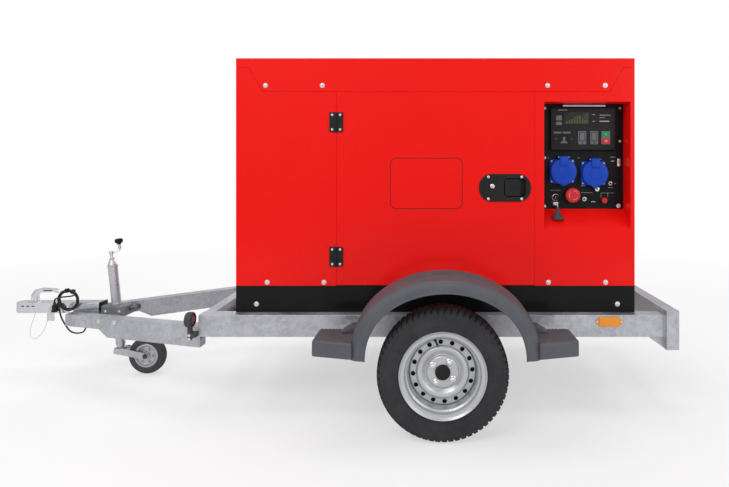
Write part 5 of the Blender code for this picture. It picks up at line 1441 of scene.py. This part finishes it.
rim = collar(0.056, 0.061, -0.019, 0.019, CASTOR, ALONG_Y, 64)
bush = revolve([(0.0062, -0.027), (0.015, -0.027), (0.015, 0.027), (0.0062, 0.027)], CASTOR, ALONG_Y, 32,
               True)
piece("castor_discs", [castor_disc(-1), castor_disc(1), rim, bush], WHEEL_SILVER, "castor", smooth=35)
print("coupling, jockey leg and castor ready")


# %% [markdown]
# ## Lamps
# Each marker lamp is a rubber cup on a bracket at the front corner of the frame, with a red lens to the rear
# and a clear one to the front. The tail lamps sit inside the rear member, behind its web.

# %% Marker lamps
CUP = [(0.027, 0.0125), (0.029, 0.016), (0.033, 0.014), (0.0344, 0.008), (0.0344, -0.006), (0.0335, -0.012),
       (0.029, -0.017), (0.0255, -0.0175), (0.0245, -0.013)]
LENS = [(0.0, 0.0165), (0.012, 0.0158), (0.021, 0.014), (0.0268, 0.011), (0.0268, 0.008), (0.0, 0.008)]
ALONG_X = (1, 0, 0)

for side, name in ((-1, "near"), (1, "far")):
    centre = (-0.53, side * 0.52, 0.433)
    arm_y, foot_y = sorted((side * 0.5085, side * 0.5315)), sorted((side * 0.4905, side * 0.5315))
    body = [revolve(rounded(CUP, 0.0016, 3, True), centre, ALONG_X, 48, True),
            block((-0.539, arm_y[0], 0.341), (-0.521, arm_y[1], 0.4045), 0.004),
            block((-0.539, foot_y[0], 0.353), (-0.5007, foot_y[1], 0.374), 0.004)]
    piece(name + "_lamp_cup", body, LAMP_RUBBER, replaces=(name + "_marker_lamp",), smooth=35)
    for colour, finish, way in (("red", RED_LENS, 1), ("clear", CLEAR_LENS, -1)):
        glass = rounded([(r, way * h) for r, h in LENS], 0.001, 2)
        piece(name + "_marker_" + colour, [revolve(glass, centre, ALONG_X, 40)], finish)
    piece(name + "_marker_ring", [collar(0.0262, 0.0295, 0.013, 0.017, centre, ALONG_X)], BLACK_MOULDED)
    bolts = [hex_bolt((-0.53, side * 0.5316, z), (0, side, 0), 0.0045, 0.004) for z in (0.348, 0.364)]
    piece(name + "_lamp_bolts", bolts, SCREW_STEEL, smooth=30)

# %% Tail lamps
WINDOWS = ((0.318, 0.36, CLEAR_LENS), (0.363, 0.403, AMBER_LENS), (0.406, 0.448, RED_LENS))
DOME = [(None, 1.661), (0.0, 1.661), (0.0, 1.665), (0.0015, 1.6668), (0.005, 1.668), (None, 1.669)]
CASE = [(None, 1.64), (0.0, 1.64), (0.0, 1.66), (0.003, 1.662), (None, 1.662)]

for side, name in ((-1, "near"), (1, "far")):
    y_low, y_high = sorted((side * 0.315, side * 0.497))
    piece(name + "_tail_case", [layered(stadium(y_low, y_high, 0.313, 0.453, 0.01, 6), CASE, "X")],
          BLACK_MOULDED,
          smooth=35)
    for index, (low, high, finish) in enumerate(WINDOWS):
        window = stadium(y_low + 0.005, y_high - 0.005, low, high, 0.005, 6)
        piece(name + "_tail_lens_" + str(index), [layered(window, DOME, "X")], finish, smooth=35)
print("marker lamps and tail lamps ready")


# %% [markdown]
# ## Control recess
# The panel stands 0.352 m from the centre plane. On it sit a controller with a display, two keys and a
# rocker, two sockets under sprung lids, and the switches. Nothing is lettered: marks are plain bars.

# %% Panel plate and its fixings
FACE = -0.3515
MODULE_FACE = -0.3725
KEY_FACE = -0.3753


def tile(x_low, x_high, z_low, z_high, back, front, radius=0.002, round_to=0.0008):
    """Plate on the panel, from y = back forwards to y = front, with a rounded front rim."""
    levels = [(None, back), (0.0, back), (0.0, front + round_to)]
    levels += [(round_to * (1 - math.cos(a)), front + round_to * (1 - math.sin(a)))
               for a in (0.4, 0.8, 1.2, 1.5708)]
    return layered(stadium(x_low, x_high, z_low, z_high, radius, 5), levels + [(None, front)])


def printed(bars, face, radius):
    """Thin bars printed on a face."""
    return [tile(*bar, face + 0.0001, face - 0.0003, radius, 0.0001) for bar in bars]


def raised(face, steps=((0.0, 0.0007), (0.3, 0.0009), (0.7, 0.0009), (1.0, 0.0007))):
    """Profile of a low raised line on a face, for a ring plate."""
    return [(0.0, face)] + [(share, face - height) for share, height in steps] + [(1.0, face)]


finished("control_panel", PANEL_COAT, 0.0008)
screws = [dome_screw((x, FACE - 0.0001, z), TO_NEAR, 0.005, 1.3, 18)
          for x, z in ((1.115, 1.41), (1.478, 1.41), (1.115, 0.936), (1.115, 1.17), (1.478, 1.25))]
piece("panel_screws", screws, SCREW_STEEL)
piece("recess_light", [tile(1.2, 1.405, 1.4165, 1.4245, FACE + 0.0002, FACE - 0.012, 0.003)], CLEAR_LENS)

# %% Controller
BURIED = MODULE_FACE + 0.0003
BAR_HEIGHTS = (1, 2, 3, 5, 6, 6, 4, 2)
KEY_SPANS = {"menu_key": (1.27, 1.309), "mode_key": (1.328, 1.366)}
ROCKER_SPAN, LEFT_SPAN = (1.381, 1.424), (1.152, 1.259)


def module_frame(x, z, inset, steps):
    """Ring plate on the controller's face, sunk a little into it."""
    return ring_plate(x, z, inset, (0.004, 0.002),
                      [(0.0, BURIED)] + [(s, MODULE_FACE - h) for s, h in steps]
                      + [(1.0, BURIED)])


finished("controller_module", BLACK_MOULDED, 0.003, 3)
bezel = module_frame((1.1985, 1.3265), (1.323, 1.3945), 0.0055,
                     ((0.0, 0.0014), (0.12, 0.002), (0.85, 0.002), (1.0, 0.0012)))
piece("display_bezel", [bezel], BLACK_MOULDED, smooth=35)
piece("display_glass", [tile(1.2035, 1.3215, 1.328, 1.3895, BURIED, MODULE_FACE - 0.0006, 0.002, 0.0002)],
      DISPLAY)
segments = [tile(1.212 + 0.0125 * i, 1.2205 + 0.0125 * i, 1.3345, 1.34 + 0.0052 * h, MODULE_FACE - 0.0004,
                 MODULE_FACE - 0.0009, 0.0008, 0.0001) for i, h in enumerate(BAR_HEIGHTS)]
piece("display_bars", segments, SEGMENT)
piece("small_button", [tile(1.164, 1.192, 1.349, 1.373, BURIED, MODULE_FACE - 0.0022, 0.003, 0.001),
                       tile(1.164, 1.192, 1.327, 1.342, BURIED, MODULE_FACE - 0.001, 0.003, 0.0005)],
      KEY_GREY, smooth=35)
frames = [module_frame((low - 0.004, high + 0.004), (1.2295, 1.302), 0.0032,
                       ((0.0, 0.001), (0.25, 0.0015), (0.8, 0.0015), (1.0, 0.0008)))
          for low, high in (*KEY_SPANS.values(), ROCKER_SPAN, LEFT_SPAN)]
piece("key_frames", frames, BLACK_MOULDED, smooth=35)
marks = [(1.152, 1.19, 1.2865, 1.2945), (1.196, 1.234, 1.2865, 1.2945), (1.193, 1.213, 1.24, 1.25),
         (1.1975, 1.2085, 1.252, 1.27), (1.16, 1.172, 1.259, 1.2615), (1.233, 1.245, 1.259, 1.2615),
         (1.188, 1.1935, 1.238, 1.2465), (1.2125, 1.218, 1.238, 1.2465)]
piece("module_marks", printed(marks, MODULE_FACE, 0.0015), KEY_GREY)
dashes = [(1.337, 1.353, 1.3762, 1.3782), (1.373, 1.426, 1.3728, 1.3754), (1.373, 1.399, 1.362, 1.3636),
          (1.373, 1.42, 1.343, 1.347), (1.339, 1.351, 1.344, 1.3462), (1.176, 1.218, 1.3975, 1.4)]
piece("module_dashes", printed(dashes, MODULE_FACE, 0.0008), WHITE_PRINT)

# %% Keys and rocker
for (node, (low, high)), body in zip(KEY_SPANS.items(), ("menu_button", "mode_button")):
    finished(node, KEY_GREY, 0.0018, 3)
    middle = (low + high) / 2
    ring = [ring_plate((low + 0.005, high - 0.005), (1.25, 1.293), 0.0025, (0.003, 0.002),
                       raised(KEY_FACE)),
            tile(middle - 0.004, middle + 0.004, 1.2385, 1.245, KEY_FACE, KEY_FACE - 0.0008, 0.003, 0.0003)]
    piece(node + "_ring", ring, BLACK_MOULDED, body)
finished("start_stop_rocker", KEY_GREY, 0.0018, 3)
for name, low, high, finish in (("start_pad", 1.268, 1.295, GO_GREEN),
                                ("stop_pad", 1.2365, 1.2635, STOP_RED)):
    piece(name, [tile(1.3845, 1.4205, low, high, -0.3762, -0.3775, 0.003)], finish, "rocker", smooth=35)
dot = ring_plate((1.3965, 1.4085), (1.244, 1.256), 0.0023, (0.0059, 0.0036),
                 raised(-0.3774, ((0.0, 0.0004), (0.5, 0.0005), (1.0, 0.0004))), 8)
piece("rocker_marks", [tile(1.401, 1.404, 1.2755, 1.2875, -0.3774, -0.3778, 0.001, 0.0001), dot],
      WHITE_PRINT,
      "rocker")
print("panel, controller and keys ready")

# %% [markdown]
# ### Sockets under sprung lids
# The lid is turned about the socket's own line and its rim is fluted: r = R (1 - 0.03 (1 - cos 36 a) / 2).
# A sprung block at the top carries it. The cup behind the lid holds a face, and two black discs on it are
# painted shade where the plug's pins go in.

# %% Sockets and lids
CUP_SECTION = [(0.0, 0.358), (0.046, 0.358), (0.046, 0.3835), (0.047, 0.3845), (0.057, 0.3845),
               (0.058, 0.3835),
               (0.058, 0.3519), (0.0, 0.3519)]
INSERT = [(0.0, 0.364), (0.04, 0.364), (0.0425, 0.362), (0.0425, 0.3581), (0.0, 0.3581)]
CONTACT = [(0.0, 0.3643), (0.0042, 0.3643), (0.0048, 0.3639), (0.0, 0.3639)]
LID = [(0.0, 0.3952), (0.026, 0.3952), (0.027, 0.394), (0.029, 0.394), (0.03, 0.3952), (0.052, 0.3952),
       (0.057, 0.3946), (0.0615, 0.3928), (0.0634, 0.39), (0.0634, 0.3862), (0.0626, 0.3849), (0.0, 0.3849)]


def from_rim(start):
    """Share that grows from 0 at the start radius to 1 at the widest point."""
    return lambda r, h: (r - start) / (r.max() - start)


for side, x, z in (("left", 1.197, 1.103), ("right", 1.348, 1.093)):
    centre, hinge_line = (x, 0.0, z), (x, -0.3905, z + 0.069)
    flange = tile(x - 0.06, x + 0.06, z - 0.056, z + 0.06, FACE - 0.0003, FACE - 0.0062, 0.01, 0.002)
    bracket = block((x - 0.02, -0.38, z + 0.0402), (x + 0.02, -0.3525, z + 0.0718))
    piece(side + "_socket_cup", [revolve(CUP_SECTION, centre, TO_NEAR, 56), flange, bracket], SOCKET_BLUE,
          replaces=(side + "_socket",), smooth=35)
    piece(side + "_socket_face", [revolve(INSERT, centre, TO_NEAR, 40)], SOCKET_BLUE)
    # painted shade: black discs on the face stand for the shade where the plug's pins go in
    hole_shades = [revolve(CONTACT, (x + d, 0.0, z), TO_NEAR, 20) for d in (-0.0095, 0.0095)]
    piece(side + "_contact_hole_shades", hole_shades, BLACK_MOULDED)
    clips = [tile(x - 0.003, x + 0.003, z + s * 0.0335 - 0.0045, z + s * 0.0335 + 0.0045, -0.3638, -0.37,
                  0.001)
             for s in (-1, 1)]
    fixings = [dome_screw((x + i * 0.0505, FACE - 0.0062, z + j), TO_NEAR, 0.0036, 1.15, 16)
               for i in (-1, 1) for j in (-0.047, 0.0505)]
    piece(side + "_socket_metal", clips + fixings, SCREW_STEEL)

    disc = fluted(LID, centre, TO_NEAR, 36, 0.03, from_rim(0.056), 288)
    square = ring_plate((x - 0.0165, x + 0.0165), (z - 0.0165, z + 0.0165), 0.0025, (0.003, 0.002),
                        raised(-0.395))
    hinge = block((x - 0.0195, -0.4005, z + 0.03), (x + 0.0195, -0.3812, z + 0.0722), 0.003)
    thumb = block((x - 0.013, -0.3945, z - 0.0665), (x + 0.013, -0.3868, z - 0.06), 0.0025)
    knuckle = peg(0.0062, -0.024, 0.024, hinge_line, ALONG_X, 28, 0.0015, 3)
    piece(side + "_lid", [disc, square, hinge, knuckle, thumb], SOCKET_BLUE, side + "_lid",
          (side + "_socket_lid",), 35)
    piece(side + "_lid_pin", [peg(0.003, -0.0262, 0.0262, hinge_line, ALONG_X, 16, 0.0008)], SCREW_STEEL,
          side + "_lid")

# %% Emergency stop, breaker and key
x, z = 1.244, 0.99
mushroom = [(0.0, 0.3925), (0.024, 0.3915), (0.0315, 0.389), (0.035, 0.385), (0.0372, 0.378),
            (0.0372, 0.3745),
            (0.034, 0.3738), (0.012, 0.3738), (0.012, 0.3566), (0.0, 0.3566)]
piece("stop_mushroom", [fluted(rounded(mushroom, 0.0015, 3), (x, 0.0, z), TO_NEAR, 12, 0.05,
                               from_rim(0.028), 96)],
      STOP_RED, "stop_button", ("emergency_stop",))
arrows = [sweep(np.array([[x + 0.021 * math.cos(a), -0.3922, z + 0.021 * math.sin(a)]
                          for a in np.linspace(t, t + 1.2, 12)]), circle(0.001, 8), False, (0.0, 1.0, 0.0))
          for t in (0.4, 2.5, 4.6)]
piece("stop_arrows", arrows, WHITE_PRINT, "stop_button")
guard = rounded([(0.0128, 0.3516), (0.026, 0.3516), (0.0245, 0.36), (0.0215, 0.3655), (0.0128, 0.3655)],
                0.0015, 3, True)
piece("stop_collar", [revolve(guard, (x, 0.0, z), TO_NEAR, 48, True)], BLACK_MOULDED)
button = [(0.0, 0.3712), (0.0085, 0.3708), (0.0125, 0.369), (0.015, 0.3665), (0.015, 0.362),
          (0.0062, 0.3616),
          (0.0062, 0.3522), (0.0, 0.3522)]
piece("trip_knob", [fluted(rounded(button, 0.001, 2), (1.4, 0.0, 0.964), TO_NEAR, 10, 0.1, from_rim(0.01),
                           80)],
      STOP_RED, "trip_button", ("breaker_button",))
finished("key", BRIGHT_ZINC, 0.0009, 2)
piece("key_bow_cover", [tile(1.1653, 1.1687, 0.9665, 0.9895, -0.37, -0.3882, 0.0012, 0.001)], BLACK_MOULDED,
      "ignition")

# %% Lamps, toggle switch and earth post
RUNNING, FAULT, KEY_HOLE, TOGGLE = (1.306, 0.97), (1.432, 1.046), (1.167, 0.978), (1.368, 1.018)


def small_turned(points, x_z, fillet, count):
    """Turned piece on the panel at (x, z)."""
    return revolve(rounded(points, fillet, count), (x_z[0], 0.0, x_z[1]), TO_NEAR, 24)


for name, at, top, foot, finish in (("running_lamp", RUNNING, 0.358, 0.0075, GO_GREEN),
                                    ("fault_lamp", FAULT, 0.357, 0.0068, RED_LENS)):
    piece(name, [small_turned([(0.0, top), (0.005, 0.356), (foot, 0.3516), (0.0, 0.3516)], at, 0.002, 3)],
          finish)
metal = [small_turned([(0.0, 0.353), (r, 0.353), (r * 1.15, 0.3516), (0.0, 0.3516)], at, 0.0005, 2)
         for at, r in ((RUNNING, 0.0095), (FAULT, 0.0088), (KEY_HOLE, 0.0155))]
metal.append(hex_bolt((TOGGLE[0], FACE - 0.0002, TOGGLE[1]), TO_NEAR, 0.0072, 0.005))
metal.append(sweep([(1.368, -0.356, 1.018), (1.3672, -0.362, 1.02), (1.3662, -0.368, 1.023),
                    (1.3652, -0.3735, 1.0262)], circle(0.0028), False, (1.0, 0.0, 0.0)))
metal.append(block((1.3612, -0.3785, 1.0225), (1.3692, -0.3715, 1.0305), 0.0038))
metal.append(tile(1.464, 1.48, 1.128, 1.166, FACE - 0.0001, FACE - 0.0022, 0.004, 0.0006))
post = [(0.0, 0.365), (0.005, 0.365), (0.0056, 0.364), (0.0056, 0.358), (0.0105, 0.3575), (0.011, 0.3565),
        (0.011, 0.3517), (0.0, 0.3517)]
metal.append(revolve(post, (1.47, 0.0, 0.938), TO_NEAR, 24))
metal += [hex_bolt((1.472, FACE - 0.0002, 1.147 + d), TO_NEAR, 0.0052, 0.006) for d in (-0.012, 0.012)]
piece("switch_metal", metal, SCREW_STEEL, smooth=35)

# %% Hanging boot
BOOT_AT = (1.167, -0.395, 0.0)
UPRIGHT = (0, 0, 1)
bell = [(0.0, 0.9235), (0.007, 0.923), (0.0105, 0.913), (0.016, 0.903), (0.0255, 0.89), (0.03, 0.881),
        (0.03, 0.877), (0.027, 0.8772), (0.0, 0.888)]
boot = revolve(rounded(bell, 0.0025, 3), BOOT_AT, UPRIGHT, 40)
piece("hanging_boot", [boot, peg(0.0085, 0.934, 0.9225, BOOT_AT, UPRIGHT, 32, 0.0015, 3)], LAMP_RUBBER)
stem = spline([(1.167, -0.3519, 0.948), (1.167, -0.37, 0.95), (1.167, -0.388, 0.949),
               (1.167, -0.3945, 0.943),
               (1.167, -0.395, 0.93)], 0.004)
foot = tile(1.155, 1.179, 0.94, 0.956, FACE - 0.0001, FACE - 0.002, 0.005, 0.0005)
piece("boot_wire", [sweep(stem, circle(0.0018, 10), False, (1.0, 0.0, 0.0)), foot], SCREW_STEEL)

# plain printed lines between the switches
lines = [(1.29, 1.345, 1.0005, 1.0016), (1.386, 1.448, 0.999, 1.0001), (1.386, 1.3871, 0.977, 0.999),
         (1.418, 1.4191, 0.977, 0.999), (1.43, 1.456, 1.172, 1.1738), (1.434, 1.45, 1.152, 1.156),
         (1.29, 1.31, 1.033, 1.0352), (1.142, 1.192, 1.012, 1.0131), (1.148, 1.186, 0.953, 0.9541),
         (1.42, 1.444, 1.025, 1.0262), (1.45, 1.46, 1.044, 1.0455), (1.338, 1.36, 0.956, 0.959),
         (1.122, 1.138, 1.169, 1.17), (1.27, 1.284, 1.169, 1.17)]
piece("panel_lines", printed(lines, FACE, 0.0005), WHITE_PRINT)
print("sockets, switches and marks ready")


# %% [markdown]
# ## Machinery behind the panels
# It shows past the open door: a three cylinder engine and alternator on a bed, a radiator with its fan, a
# tank, a battery and a silencer. Castings get a wide soft edge, sheet gets a narrow one.

# %% Machinery
for node, finish, width, segments in (
        ("engine", CAST_METAL, 0.006, 2), ("alternator", DARK_STEEL, 0.003, 2),
        ("radiator", BLACK_COAT, 0.003, 2), ("cooling_fan", BLACK_MOULDED, 0.001, 2),
        ("fuel_tank", BLACK_MOULDED, 0.014, 3),
        ("battery", BLACK_MOULDED, 0.006, 3), ("exhaust_silencer", GALVANISED_FINE, 0.005, 3)):
    finished(node, finish, width, segments)

cylinders = [0.47 + 0.105 * i for i in range(3)]
covers = [block((x - 0.042, -0.105, 1.0895), (x + 0.042, 0.075, 1.115), 0.012) for x in cylinders]
piece("rocker_covers", covers, DARK_STEEL, slot="cast_iron")
cap = rounded([(0.0, 0.762), (0.032, 0.762), (0.036, 0.756), (0.036, 0.732), (0.0, 0.73)], 0.003, 3)
piece("tank_cap", [revolve(cap, (0.2, 0.33, 0.0), UPRIGHT, 36)], BLACK_MOULDED)
pole = rounded([(0.0, 0.686), (0.0085, 0.686), (0.01, 0.665), (0.0, 0.664)], 0.001, 2)
piece("battery_poles", [revolve(pole, (x, -0.385, 0.0), UPRIGHT, 20) for x in (0.01, 0.19)], CAST_METAL)
rows = [-0.3 + 0.015 * i for i in range(41)]
fins = [block((-0.317, y, 0.66), (-0.3145, y + 0.001, 1.1), 0.0004, 1) for y in rows]
piece("radiator_fins", fins, GALVANISED_FINE, slot="engine_alloy")
print("machinery ready")
